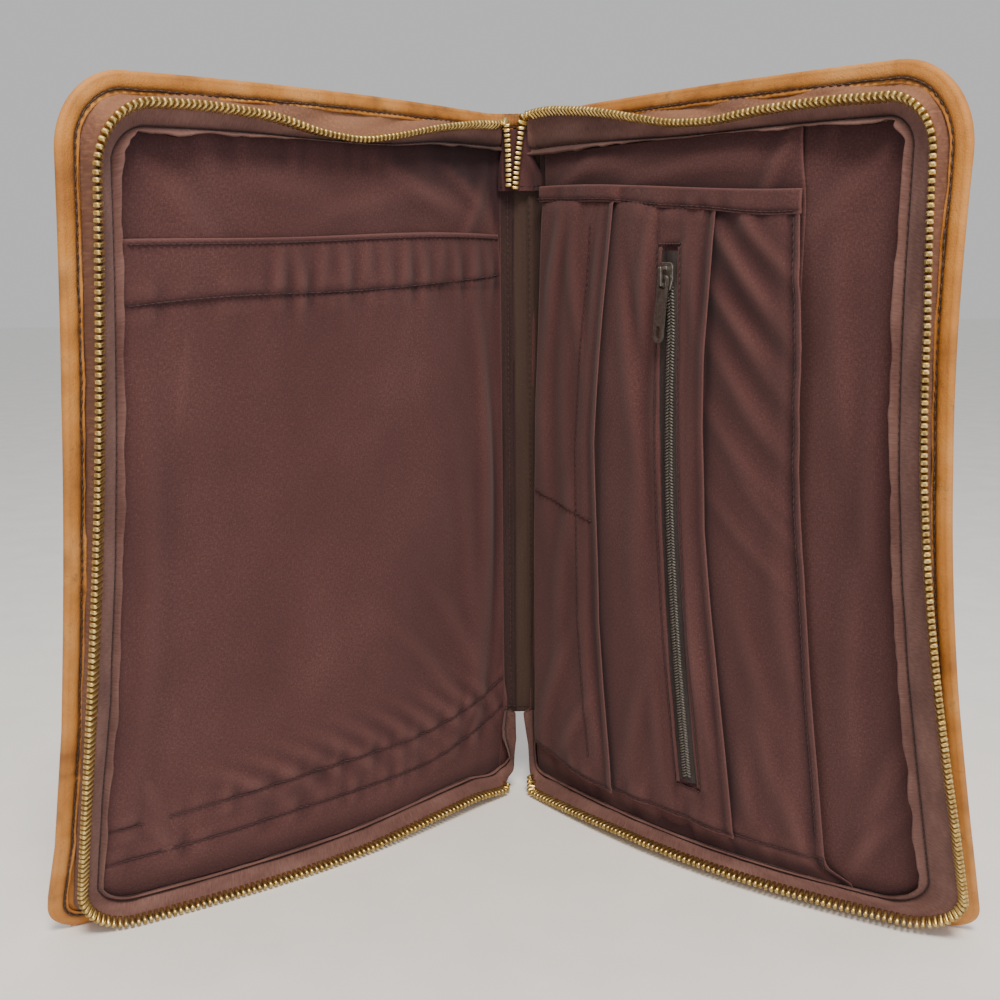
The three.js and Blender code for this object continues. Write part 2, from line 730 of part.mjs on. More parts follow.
// Slider: a plate narrowing towards the open end, with an arched bridge on it
function sliderBody() {
  const plate = new THREE.Shape();
  const half = SLIDER_WIDTH / 2;
  const reach = SLIDER_LENGTH / 2;
  const nose = half * SLIDER_SHAPE.nose;
  const shoulder = -reach * SLIDER_SHAPE.shoulder;
  const corner = reach * SLIDER_SHAPE.corner;
  const crown = half * SLIDER_SHAPE.crown;
  plate.moveTo(-nose, -reach);
  plate.lineTo(nose, -reach);
  plate.lineTo(half, shoulder);
  plate.lineTo(half, corner);
  plate.quadraticCurveTo(half, reach, crown, reach);
  plate.lineTo(-crown, reach);
  plate.quadraticCurveTo(-half, reach, -half, corner);
  plate.lineTo(-half, shoulder);
  plate.closePath();
  const base = plateOf(plate, SLIDER_PLATE);
  const arch = new THREE.Shape();
  const span = BRIDGE_SPAN / 2;
  const top = BRIDGE_UNDERSIDE + BRIDGE_BAR;
  const sunk = SLIDER_PLATE / 2;
  arch.moveTo(-span, sunk);
  arch.lineTo(-span + BRIDGE_BAR, sunk);
  arch.lineTo(-span + BRIDGE_BAR, BRIDGE_UNDERSIDE);
  arch.lineTo(span - BRIDGE_BAR, BRIDGE_UNDERSIDE);
  arch.lineTo(span - BRIDGE_BAR, sunk);
  arch.lineTo(span, sunk);
  arch.lineTo(span, top - BRIDGE_BAR / 2);
  arch.quadraticCurveTo(span, top, span - BRIDGE_BAR / 2, top);
  arch.lineTo(-span + BRIDGE_BAR / 2, top);
  arch.quadraticCurveTo(-span, top, -span, top - BRIDGE_BAR / 2);
  arch.closePath();
  const bridge = plateOf(arch, BRIDGE_WIDTH);
  bridge.translate(0, 0, -BRIDGE_WIDTH / 2);
  bridge.applyMatrix4(new THREE.Matrix4().makeBasis(
    new THREE.Vector3(0, 1, 0),
    new THREE.Vector3(0, 0, 1),
    new THREE.Vector3(1, 0, 0),
  ));
  return fromSolid(toSolid(base).add(toSolid(bridge)));
}

// Pull: its top bar turns under the bridge, and the bridge's leg stands in its eye
function pullBody() {
  const half = PULL_WIDTH / 2;
  const crown = PULL_BAR / 2;
  const shape = new THREE.Shape();
  const round = half * PULL_SHAPE.shoulder;
  shape.moveTo(-half, crown - round / 2);
  shape.lineTo(-half, -PULL_LENGTH + half);
  shape.absarc(0, -PULL_LENGTH + half, half, Math.PI, 2 * Math.PI, false);
  shape.lineTo(half, crown - round / 2);
  shape.lineTo(half - round / 2, crown);
  shape.lineTo(-half + round / 2, crown);
  shape.closePath();
  const eye = new THREE.Path();
  const eyeHalf = PULL_EYE_WIDTH / 2;
  eye.moveTo(-eyeHalf, -crown);
  eye.lineTo(eyeHalf, -crown);
  eye.lineTo(eyeHalf, -crown - PULL_EYE_LENGTH);
  eye.lineTo(-eyeHalf, -crown - PULL_EYE_LENGTH);
  eye.closePath();
  const grip = new THREE.Path();
  const gripHalf = half * PULL_SHAPE.grip;
  const gripFoot = -PULL_LENGTH + half;
  grip.absarc(0, gripFoot, gripHalf, Math.PI, 2 * Math.PI, false);
  grip.lineTo(gripHalf, gripFoot + half);
  grip.absarc(0, gripFoot + half, gripHalf, 0, Math.PI, false);
  grip.closePath();
  shape.holes.push(eye, grip);
  const geometry = plateOf(shape, PULL_THICKNESS);
  geometry.translate(0, 0, -PULL_THICKNESS / 2);
  return geometry;
}

// Finishes
const FINISHES = {
  leather: { color: "#b87f42", roughness: 0.62, metalness: 0 },
  facing: { color: "#5a3a33", roughness: 0.9, metalness: 0 },
  tape: { color: "#6e5450", roughness: 0.88, metalness: 0 },
  cloth: { color: "#5e3a38", roughness: 0.85, metalness: 0 },
  spine: { color: "#4a3c3a", roughness: 0.9, metalness: 0 },
  brass: { color: "#c2a65c", roughness: 0.35, metalness: 1 },
  coil: { color: "#3a3533", roughness: 0.5, metalness: 0 },
  darkMetal: { color: "#4b4743", roughness: 0.4, metalness: 1 },
};

function piece(name, geometry, finish) {
  const mesh = new THREE.Mesh(geometry, new THREE.MeshStandardMaterial(FINISHES[finish]));
  mesh.name = name;
  return mesh;
}

// Assembly
const documentCase = new THREE.Group();
documentCase.add(piece("leather_shell", leatherShell(), "leather"));
for (const [name, side] of [["left", LEFT], ["right", RIGHT]]) {
  documentCase.add(piece(`${name}_edge_facing`, edgeFacing(side), "facing"));
  documentCase.add(piece(`${name}_gusset`, gusset(side), "tape"));
  documentCase.add(piece(`${name}_zip_chain`, zipChain(side), "brass"));
  documentCase.add(piece(`${name}_lining`, lining(side), "cloth"));
}
documentCase.add(piece("zip_joined_end", zipJoinedEnd(), "brass"));
documentCase.add(piece("zip_end_tape", zipEndTape(), "tape"));
documentCase.add(piece("spine_lining", spineLining(), "spine"));
documentCase.add(piece("document_pocket", documentPocket(), "cloth"));
documentCase.add(piece("divider_panel", dividerPanel(), "cloth"));

const underHem = ORGANISER_HEM + GAP / 2;
const organiser = organiserSection(LAYERS.organiser, () => ORGANISER_REACH, 0);
const slit = slitRibbon({
  offset: 0,
  width: TAPE_WIDTH + 2 * GAP,
  foot: SLIT_FOOT - GAP,
  top: SLIT_TOP + GAP,
  back: layerOff(LAYERS.zipPocket) - GAP / 2,
  thickness: CLOTH + GAP,
  count: GRID.ribbonRows,
});
const zipPocket = organiserSection(LAYERS.zipPocket, zipPocketReach, underHem, slit);
const penPocket = organiserSection(LAYERS.penPocket, penPocketReach, underHem);
documentCase.add(piece("organiser_panel", organiser, "cloth"));
documentCase.add(piece("organiser_zip_pocket", zipPocket, "cloth"));
documentCase.add(piece("organiser_pen_pocket", penPocket, "cloth"));
documentCase.add(piece("organiser_hem", organiserHem(), "cloth"));

const tape = slitRibbon({
  offset: 0,
  width: TAPE_WIDTH,
  foot: SLIT_FOOT,
  top: SLIT_TOP,
  back: layerOff(LAYERS.zipPocket),
  thickness: TAPE_THICKNESS,
  count: GRID.ribbonRows,
});
const coil = slitRibbon({
  offset: COIL_OFFSET,
  width: COIL_WIDTH,
  foot: SLIT_FOOT + TAPE_WIDTH / 4,
  top: SLIDER_UP + SLIDER_LENGTH / 2,
  back: COIL_BACK,
  thickness: COIL_THICKNESS,
  count: GRID.coilRows,
});
documentCase.add(piece("pocket_zip_tape", tape, "coil"));
documentCase.add(piece("pocket_zip_coil", coil, "coil"));

const sliderFrame = sliderPlace();
const slider = new THREE.Group();
slider.position.copy(sliderFrame.place);
slider.quaternion.setFromRotationMatrix(sliderFrame.turn);
slider.add(piece("pocket_zip_slider", sliderBody(), "darkMetal"));
const pull = piece("pocket_zip_pull", pullBody(), "darkMetal");
pull.position.set(0, 0, HINGE_HEIGHT);
pull.rotation.z = -PULL_SWING;
slider.add(pull);
documentCase.add(slider);

// The origin lies under the middle of the case
documentCase.updateMatrixWorld(true);
const extent = new THREE.Box3().setFromObject(documentCase, true);
const middle = extent.getCenter(new THREE.Vector3());
documentCase.position.set(-middle.x, -middle.y, -extent.min.z);

export default documentCase;
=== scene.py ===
"""Zip-round leather document case, standing open on its lower edges.

Every piece lies on one of two covers. A cover is a twisted sheet, described by three
lengths in millimetres: along (from the middle of the spine outwards), up (from the lower
edge) and off (from the outside of the leather towards the inside of the case). In this
file along is negative on the left cover.
"""

import json
import logging
import math
from dataclasses import dataclass, field, replace
from enum import Enum
from typing import Callable, Sequence

import bmesh
import bpy
import numpy as np
from mathutils import Euler, Matrix, Vector


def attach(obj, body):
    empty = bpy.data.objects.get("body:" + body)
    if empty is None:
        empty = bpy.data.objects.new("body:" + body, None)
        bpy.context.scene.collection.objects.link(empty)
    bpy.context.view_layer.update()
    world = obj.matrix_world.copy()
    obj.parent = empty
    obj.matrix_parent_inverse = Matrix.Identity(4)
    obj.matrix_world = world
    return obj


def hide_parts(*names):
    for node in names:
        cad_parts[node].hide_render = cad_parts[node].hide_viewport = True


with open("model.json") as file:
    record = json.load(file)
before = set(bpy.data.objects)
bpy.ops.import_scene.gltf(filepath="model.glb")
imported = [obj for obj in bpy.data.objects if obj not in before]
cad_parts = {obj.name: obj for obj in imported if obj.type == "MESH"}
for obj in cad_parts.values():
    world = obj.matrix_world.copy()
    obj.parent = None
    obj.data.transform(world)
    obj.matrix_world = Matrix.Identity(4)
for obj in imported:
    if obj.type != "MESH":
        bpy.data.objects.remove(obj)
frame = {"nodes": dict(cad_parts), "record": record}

log = logging.getLogger("document_case")
Array = np.ndarray

METRE = 1000.0
PITCH_BETWEEN_TEETH = 2.45


# Sizes of the case

@dataclass(frozen=True)
class Cover:
    """How one cover stands open.

    Args:
        sign: -1 for the left cover, 1 for the right one; not used.
        foot: half angle of the opening at the foot, in degrees.
        top: half angle of the opening at the top, in degrees.
        side_bow: how far the free edge bows inwards.
        foot_bow: how far the foot bows inwards.
    """

    sign: int
    foot: float
    top: float
    side_bow: float
    foot_bow: float


LEFT = Cover(sign=-1, foot=52.6, top=34.9, side_bow=13.0, foot_bow=12.0)
RIGHT = Cover(sign=1, foot=50.0, top=34.1, side_bow=27.0, foot_bow=18.0)


@dataclass(frozen=True)
class Sizes:
    """Driving sizes of the case, in millimetres, as in the solids."""

    height: float = 335.0
    cover_width: float = 228.0
    spine_width: float = 22.0
    spine_bend: float = 12.0
    corner: float = 14.0
    spine_lean: float = math.radians(3.3)
    leather: float = 2.0
    rim_width: float = 8.0
    rim_rise: float = 1.6
    notch_height: float = 43.0
    notch_top: float = 8.0
    notch_foot: float = 15.0
    cloth: float = 1.0
    gap: float = 0.4
    lining_stand: float = 0.8
    swell: float = 3.0
    gusset_inset: float = 22.5
    gusset_rise: float = 14.0
    notch_side: float = 6.9
    droop: float = 10.0
    chain_thickness: float = 2.6
    joined_length: float = 28.0
    joined_top: float = 6.0
    end_tape_stand: float = 7.6
    end_tape_half: float = 13.0
    end_tape_length: float = 27.0
    pocket_top: float = 280.0
    pocket_hem: float = 22.0
    organiser_reach: float = 176.0
    organiser_top: float = 300.0
    organiser_hem: float = 13.5
    organiser_foot: float = 21.0
    zip_pocket_reach: float = 131.0
    pen_pocket_reach: float = 68.0
    slit_place: float = 108.5
    slit_drift: float = 8.5
    slit_top: float = 272.0
    slit_foot: float = 41.0
    tape_width: float = 11.0
    coil_width: float = 4.4
    slider_drop: float = 10.0

    @property
    def reach(self) -> float:
        """Distance from the middle of the spine to the free edge."""
        return self.spine_width / 2 + self.cover_width

    def layer(self, number: float) -> float:
        """How far off the outside of the leather the back of a cloth layer lies."""
        return self.leather + self.lining_stand + number * (self.cloth + self.gap)


SIZE = Sizes()


class Layer(float, Enum):
    """Cloth layers, counted from the leather inwards."""

    LINING = 0.0
    DIVIDER = 1.0
    ORGANISER = 2.0
    ZIP_POCKET = 3.0
    PEN_POCKET = 4.0


# Shapes on the covers

def smooth(value: Array, low: float, high: float) -> Array:
    """Smooth step from 0 at low to 1 at high."""
    share = np.clip((np.asarray(value, float) - low) / (high - low), 0.0, 1.0)
    return share * share * (3.0 - 2.0 * share)


def lattice_noise(x: Array, y: Array, seed: int) -> Array:
    """Smooth noise from -1 to 1 on a unit lattice.

    Args:
        x: first coordinate.
        y: second coordinate.
        seed: choice of the lattice's values.

    Returns:
        The noise, in the shape of x and y.
    """
    x, y = np.broadcast_arrays(np.asarray(x, float), np.asarray(y, float))
    values = np.random.default_rng(seed).uniform(-1.0, 1.0, (97, 89))
    column, row = np.floor(x).astype(int), np.floor(y).astype(int)
    across, over = smooth(x - column, 0, 1), smooth(y - row, 0, 1)

    def corner(dx: int, dy: int) -> Array:
        return values[(column + dx) % 97, (row + dy) % 89]

    low = corner(0, 0) * (1 - across) + corner(1, 0) * across
    high = corner(0, 1) * (1 - across) + corner(1, 1) * across
    return low * (1 - over) + high * over


class CaseSurface:
    """Turns along, up and off into places in the frame."""

    def __init__(self, size: Sizes) -> None:
        """Sets the surface in place by the record's mount under the left cover."""
        self.size = size
        self.shift = np.zeros(3)
        foot = next(m for m in frame["record"]["mounts"] if m["name"] == "left_foot")
        middle_of_rim = (size.leather + size.rim_rise) / 2
        self.shift = np.array(foot["pos_m"]) - self.at(-120.0, 0.0, middle_of_rim)

    def at(self, along: Array, up: Array, off: Array) -> Array:
        """Place of a point on a cover.

        Args:
            along: distance from the middle of the spine, negative on the left.
            up: height on the cover.
            off: distance from the outside of the leather.

        Returns:
            Places in metres, with x, y and z last.
        """
        size = self.size
        along, up, off = np.broadcast_arrays(*(np.asarray(v, float) for v in (along, up, off)))
        left = along < 0
        out = np.abs(along)

        def chosen(name: str) -> Array:
            return np.where(left, getattr(LEFT, name), getattr(RIGHT, name))

        share = up / size.height
        foot, top = np.radians(chosen("foot")), np.radians(chosen("top"))
        turn = np.pi / 2 - (foot + (top - foot) * share)
        start = (size.spine_width - size.spine_bend) / 2
        bent = np.clip(out - start, 0, size.spine_bend)
        straight = np.maximum(out - start - size.spine_bend, 0)
        heading = turn * bent / size.spine_bend
        radius = size.spine_bend / turn
        out_share = np.clip((out - size.spine_width / 2) / size.cover_width, 0, 1)
        inside = np.clip(share, 0, 1)
        bow = chosen("side_bow") * np.sin(np.pi * inside) * (out / size.reach) ** 2
        bow = bow + chosen("foot_bow") * np.sin(np.pi * out_share) * (1 - inside) ** 2
        x = np.minimum(out, start) + radius * np.sin(heading) + straight * np.cos(turn)
        y = -radius * (1 - np.cos(heading)) - straight * np.sin(turn)
        rise = np.cos(size.spine_lean) * np.sqrt(1 - (out * (top - foot) / size.height) ** 2)
        place = np.stack([
            np.where(left, -1.0, 1.0) * (x - (off + bow) * np.sin(heading)),
            y - (off + bow) * np.cos(heading) - up * np.sin(size.spine_lean),
            up * rise,
        ], axis=-1)
        return place / METRE + self.shift


SURFACE = CaseSurface(SIZE)


@dataclass(frozen=True)
class Line:
    """A line round a cover, by its insets as shares of the gusset's.

    Args:
        inner: inset from the notch's side.
        foot: inset from the foot.
        outer: inset from the free edge.
        top: inset from the top.
        radius: share of the corner radius that it turns with.
    """

    inner: float
    foot: float
    outer: float
    top: float
    radius: float


FOLD_LINE = Line(inner=0.29, foot=0.46, outer=1.0, top=0.9, radius=0.5)
ZIP_LINES = {
    -1: Line(inner=0.0, foot=0.12, outer=0.36, top=0.4, radius=0.8),
    1: Line(inner=0.0, foot=0.12, outer=0.3, top=0.4, radius=0.8),
}
ZIP_HEIGHTS = {
    -1: {"inner": 0.75, "foot": 1.0, "outer": 0.74, "top": 0.6},
    1: {"inner": 0.75, "foot": 1.0, "outer": 0.62, "top": 0.6},
}
# How far the zip lies outside its place in the solids along the free edge, by height
ZIP_SPREAD = {
    -1: ((0.0, 335.0), (1.0, 1.0)),
    1: ((0.0, 60.0, 200.0, 250.0, 310.0), (3.0, 3.0, 1.0, 1.0, -2.0)),
}
# How far the zip lies above its place in the solids along the foot
ZIP_FOOT_LIFT = {-1: 3.4, 1: 2.7}
# How far the left fold lies above its place along the foot and beside the spine's head
FOLD_FOOT_LIFT = 2.6
FOLD_HEAD_LIFT = 2.5
# How roundly the fold turns its outer corners, as shares of the corner radius
FOLD_TURN = {-1: 0.6, 1: 1.1}
# How far the fold lies outside its place in the solids along the free edge, by height
FOLD_SHIFT = {
    -1: ((0.0, 60.0, 110.0, 200.0, 300.0), (6.0, 5.2, 3.0, 3.0, 4.0)),
    1: ((0.0, 335.0), (1.3, 1.3)),
}
# How far the leather's free edge lies outside its place, by height
EDGE_LINE = {
    -1: ((0.0, 20.0, 45.0, 100.0, 160.0, 230.0), (1.6, 1.4, -0.8, -1.9, -1.0, 0.0)),
    1: ((0.0, 60.0, 120.0, 200.0), (-1.8, -1.8, -1.4, 0.0)),
}
# How the zip hangs along the top, as shares of the way from the spine and of the droop
DROOP_PLACES = (0.0, 0.12, 0.25, 0.35, 0.45, 0.55, 0.65, 0.78, 1.0)
DROOP = {
    -1: (-0.3, -0.15, 0.25, 0.7, 1.0, 0.85, 0.4, 0.22, 0.25),
    1: (-0.6, -0.7, -0.35, 0.1, 0.55, 0.65, 0.45, 0.38, 0.5),
}
# Edge of the cloth beside the slot at the spine's foot, by height
SLOT_HEIGHTS = (3.0, 11.0, 20.0, 29.0, 39.0, 43.0)
SLOT_CLOTH = {-1: (4.8, 2.1, 1.6, 0.4, 0.7, 0.8), 1: (9.3, 6.6, 5.6, 4.1, 2.6, 2.2)}
# Limp fold beside the slot, by height
SLOT_FOLD_HEIGHTS = (10.0, 12.0, 14.5, 17.3, 22.0, 28.0, 33.0, 38.0, 43.0)
SLOT_FOLD = {
    -1: (14.0, 11.5, 7.4, 4.6, 6.0, 9.8, 10.8, 9.6, 8.0),
    1: (14.5, 13.0, 12.2, 12.6, 11.6, 12.8, 12.6, 13.2, 13.0),
}
RUN_STEPS = {"inner": 30, "foot": 80, "outer": 120, "top": 90, "bend": 10, "arc": 12}
CORNERS = {"inner_arc": ("inner", "foot"), "foot_arc": ("foot", "outer"), "top_arc": ("outer", "top")}


@dataclass
class Stations:
    """Places along a line round a cover."""

    part: list[str]
    share: Array
    along: Array
    up: Array


def stations(line: Line) -> Stations:
    """Steps round a cover: up the notch, along the foot, up the free edge, back along the top.

    Args:
        line: the line's insets.

    Returns:
        As many stations for every line, so that two lines bound a strip.
    """
    inset = SIZE.gusset_inset
    radius = line.radius * SIZE.corner
    inner = SIZE.notch_side + line.inner * inset
    outer = SIZE.reach - line.outer * inset
    foot = line.foot * inset
    top = SIZE.height - line.top * inset
    bend_end = (SIZE.spine_width + SIZE.spine_bend) / 2
    rows: list[tuple[str, float, float, float]] = [("inner", 0.0, inner, SIZE.notch_height)]

    def run(name: str, start: tuple[float, float], end: tuple[float, float], steps: int) -> None:
        for share in np.linspace(0, 1, steps + 1)[1:]:
            along = start[0] + (end[0] - start[0]) * share
            up = start[1] + (end[1] - start[1]) * share
            rows.append((name, share, along, up))

    def arc(name: str, centre: tuple[float, float], start: float) -> None:
        for share in np.linspace(0, 1, RUN_STEPS["arc"] + 1)[1:]:
            angle = start + share * math.pi / 2
            along = centre[0] + radius * math.cos(angle)
            rows.append((name, share, along, centre[1] + radius * math.sin(angle)))

    run("inner", (inner, SIZE.notch_height), (inner, foot + radius), RUN_STEPS["inner"])
    arc("inner_arc", (inner + radius, foot + radius), math.pi)
    run("foot", (inner + radius, foot), (outer - radius, foot), RUN_STEPS["foot"])
    arc("foot_arc", (outer - radius, foot + radius), -math.pi / 2)
    run("outer", (outer, foot + radius), (outer, top - radius), RUN_STEPS["outer"])
    arc("top_arc", (outer - radius, top - radius), 0.0)
    run("top", (outer - radius, top), (bend_end, top), RUN_STEPS["top"])
    run("top", (bend_end, top), (SIZE.notch_side, top), RUN_STEPS["bend"])
    parts, shares, alongs, ups = zip(*rows)
    return Stations(list(parts), np.array(shares), np.array(alongs), np.array(ups))


def round_corners(line: Line, foot_radius: float, top_radius: float) -> Stations:
    """The stations of a line whose outer corners turn with radii of their own.

    Args:
        line: the line's insets.
        foot_radius: share of the corner radius at the foot.
        top_radius: share of the corner radius at the top.

    Returns:
        The stations.
    """
    plain = stations(line)
    low, high = (stations(replace(line, radius=radius)) for radius in (foot_radius, top_radius))
    part = np.array(plain.part)
    halfway = smooth(plain.share, 0.3, 0.7)
    near_foot = [part == "foot", part == "foot_arc", part == "outer"]
    near_top = [part == "outer", part == "top_arc", part == "top"]
    to_low = np.select(near_foot, [halfway, 1.0, 1 - halfway], 0.0)
    to_high = np.select(near_top, [halfway, 1.0, 1.0], 0.0)
    along = plain.along + (low.along - plain.along) * to_low + (high.along - plain.along) * to_high
    up = plain.up + (low.up - plain.up) * to_low + (high.up - plain.up) * to_high
    return Stations(plain.part, plain.share, along, up)


def around(line: Stations, values: dict[str, float]) -> Array:
    """A value kept on each run and blended round the corners between them."""
    found = []
    for part, share in zip(line.part, line.share):
        first, last = CORNERS.get(part, (part, part))
        found.append(values[first] + (values[last] - values[first]) * share)
    return np.array(found)


def on_run(line: Stations, name: str) -> Array:
    """1 on one run of a line, fading to 0 round the corners beside it."""
    return around(line, {run: float(run == name) for run in ("inner", "foot", "outer", "top")})


def soft_table(places: Sequence[float], values: Sequence[float], at: Array) -> Array:
    """Reading of a short table, smoothed between its rows."""
    width = 0.03
    spread = [np.interp(at + shift * width, places, values) for shift in (-1, -0.5, 0, 0.5, 1)]
    return np.mean(spread, axis=0)


@dataclass
class ZipPath:
    """The zip's own line on one cover, the fold that faces it and the seam between, as a share."""

    side: int
    along: Array
    up: Array
    off: Array
    fold_along: Array
    fold_up: Array
    fold_off: Array
    seam: Array


def zip_path(side: int) -> ZipPath:
    """The zip's line on a cover, with its droop along the top.

    Args:
        side: -1 or 1.

    Returns:
        The line, with the fold of the gusset that faces each place.
    """
    line = round_corners(ZIP_LINES[side], 1.3, 1.7)
    fold = round_corners(FOLD_LINE, FOLD_TURN[side], 0.5)
    place = np.clip(line.along / SIZE.reach, 0, 1)
    hang = soft_table(DROOP_PLACES, DROOP[side], place) * SIZE.droop
    on_top = np.array([part == "top" for part in line.part])
    up = line.up - hang * on_run(line, "top")
    if side < 0:
        lifted = ZIP_FOOT_LIFT[side] * smooth(line.along, 10.0, 40.0) * (1 - smooth(line.along, 40.0, 130.0))
    else:
        lifted = ZIP_FOOT_LIFT[side] * smooth(line.along, 10.0, 90.0)
    up = up + lifted * on_run(line, "foot")
    off = around(line, ZIP_HEIGHTS[side]) * SIZE.gusset_rise
    spread = on_run(line, "outer") * np.interp(line.up, *ZIP_SPREAD[side])
    fold_off = SIZE.layer(Layer.ORGANISER) + 0.5 + SIZE.gap
    seam_off = SIZE.layer(Layer.DIVIDER)
    offs = {"inner": fold_off, "foot": seam_off + 0.9, "outer": fold_off, "top": fold_off + 0.6}
    slot_edge = np.interp(line.up, SLOT_HEIGHTS, SLOT_CLOTH[side])
    beside = np.array([part in ("inner", "inner_arc", "foot") for part in line.part])
    fade = np.where(beside, 1 - smooth(line.along, 8.0, 30.0), 0.0)
    along = line.along - (SIZE.notch_side - slot_edge) * fade + spread
    fold.along = fold.along + np.interp(fold.up, *FOLD_SHIFT[side]) * on_run(fold, "outer")
    if side < 0:
        lifted = FOLD_FOOT_LIFT * smooth(fold.along, 20.0, 36.0) * (1 - smooth(fold.along, 45.0, 120.0))
        fold.up = fold.up + lifted * on_run(fold, "foot")
        fold.up = fold.up + FOLD_HEAD_LIFT * on_top * (1 - smooth(fold.along, 50, 95))
    limp = np.interp(fold.up, SLOT_FOLD_HEIGHTS, SLOT_FOLD[side])
    limp_share = np.where(beside, 1 - smooth(fold.along, 14.0, 18.0), 0.0)
    fold_along = fold.along + (limp - fold.along) * limp_share
    seam = around(line, {"inner": 0.33, "foot": 0.2, "outer": 0.2, "top": 0.18})
    return ZipPath(side, along, up, off, fold_along, fold.up, around(fold, offs), seam)


# Meshes

class MeshMaker:
    """Collects faces, pattern coordinates in millimetres and a tone value into one piece: scuffing, grime and
    patina, with painted light and shade.
    """

    def __init__(self) -> None:
        """Starts empty."""
        self.points: list[Array] = []
        self.quads: list[Array] = []
        self.pattern: list[Array] = []
        self.wear_patina_and_shade: list[Array] = []
        self.count = 0

    def add(self, points: Array, quads: Array, pattern: Array, wear_patina_and_shade: Array | float = 0.0) -> None:
        """Adds points and the faces between them.

        Args:
            points: places, in metres.
            quads: four corners a face, counted in points.
            pattern: pattern coordinates of each point, in millimetres.
            wear_patina_and_shade: each point's scuffing, grime and patina, and its painted highlight and
                shade.
        """
        points = points.reshape(-1, 3)
        self.quads.append(np.asarray(quads, int).reshape(-1, 4) + self.count)
        self.points.append(points)
        self.pattern.append(np.asarray(pattern, float).reshape(-1, 2))
        self.wear_patina_and_shade.append(np.broadcast_to(np.asarray(wear_patina_and_shade, float).ravel(), (len(points),)))
        self.count += len(points)

    def grid(self, points: Array, pattern: Array, wear_patina_and_shade: Array | float = 0.0, flip: bool = False,
             ring: bool = False) -> None:
        """Adds a grid of rows and columns.

        Args:
            points: rows by columns by three.
            pattern: rows by columns by two.
            wear_patina_and_shade: scuffing, grime, patina and painted light and shade of each point.
            flip: whether the faces look the other way.
            ring: whether the last column joins the first.
        """
        rows, columns = points.shape[:2]
        index = np.arange(rows * columns).reshape(rows, columns)
        if ring:
            index = np.concatenate([index, index[:, :1]], axis=1)
        corners = [index[:-1, :-1], index[:-1, 1:], index[1:, 1:], index[1:, :-1]]
        if flip:
            corners.reverse()
        self.add(points, np.stack(corners, axis=-1), pattern, wear_patina_and_shade)

    def build(self, name: str, finish: bpy.types.Material, weld: float = 0.0) -> bpy.types.Object:
        """Makes the piece.

        Args:
            name: the piece's name.
            finish: its material.
            weld: distance in metres under which points become one, 0 for none.

        Returns:
            The piece, with smooth shading.
        """
        points = np.concatenate(self.points)
        quads = np.concatenate(self.quads)
        pattern = np.concatenate(self.pattern)
        wear_patina_and_shade = np.concatenate(self.wear_patina_and_shade)
        mesh = bpy.data.meshes.new(name)
        mesh.from_pydata(points.tolist(), [], quads.tolist())
        uv = mesh.uv_layers.new(name="pattern")
        uv.data.foreach_set("uv", (pattern[quads.ravel()] / 10.0).astype(np.float32).ravel())
        attribute = mesh.attributes.new("wear_patina_and_shade", "FLOAT", "POINT")
        attribute.data.foreach_set("value", wear_patina_and_shade.astype(np.float32))
        mesh.materials.append(finish)
        mesh.shade_smooth()
        if weld:
            weld_mesh(mesh, weld)
        mesh.update()
        piece = bpy.data.objects.new(name, mesh)
        bpy.context.scene.collection.objects.link(piece)
        return piece


def weld_mesh(mesh: bpy.types.Mesh, distance: float) -> None:
    """Makes points nearer than the distance one and turns the faces outwards."""
    work = bmesh.new()
    work.from_mesh(mesh)
    bmesh.ops.remove_doubles(work, verts=work.verts, dist=distance)
    bmesh.ops.recalc_face_normals(work, faces=work.faces)
    work.to_mesh(mesh)
    work.free()


def clustered(low: float, high: float, step: float, edge: float) -> Array:
    """Steps from low to high, closer together within an edge width of both ends."""
    near = edge * np.array([0.0, 0.08, 0.25, 0.5, 0.8, 1.2])
    if high - low < 4 * edge:
        return np.linspace(low, high, 9)
    count = max(int(round((high - low - 2.4 * edge) / step)), 2)
    middle = np.linspace(low + near[-1], high - near[-1], count + 1)
    return np.concatenate([low + near[:-1], middle, (high - near[:-1])[::-1]])


Relief = Callable[[Array, Array], Array]


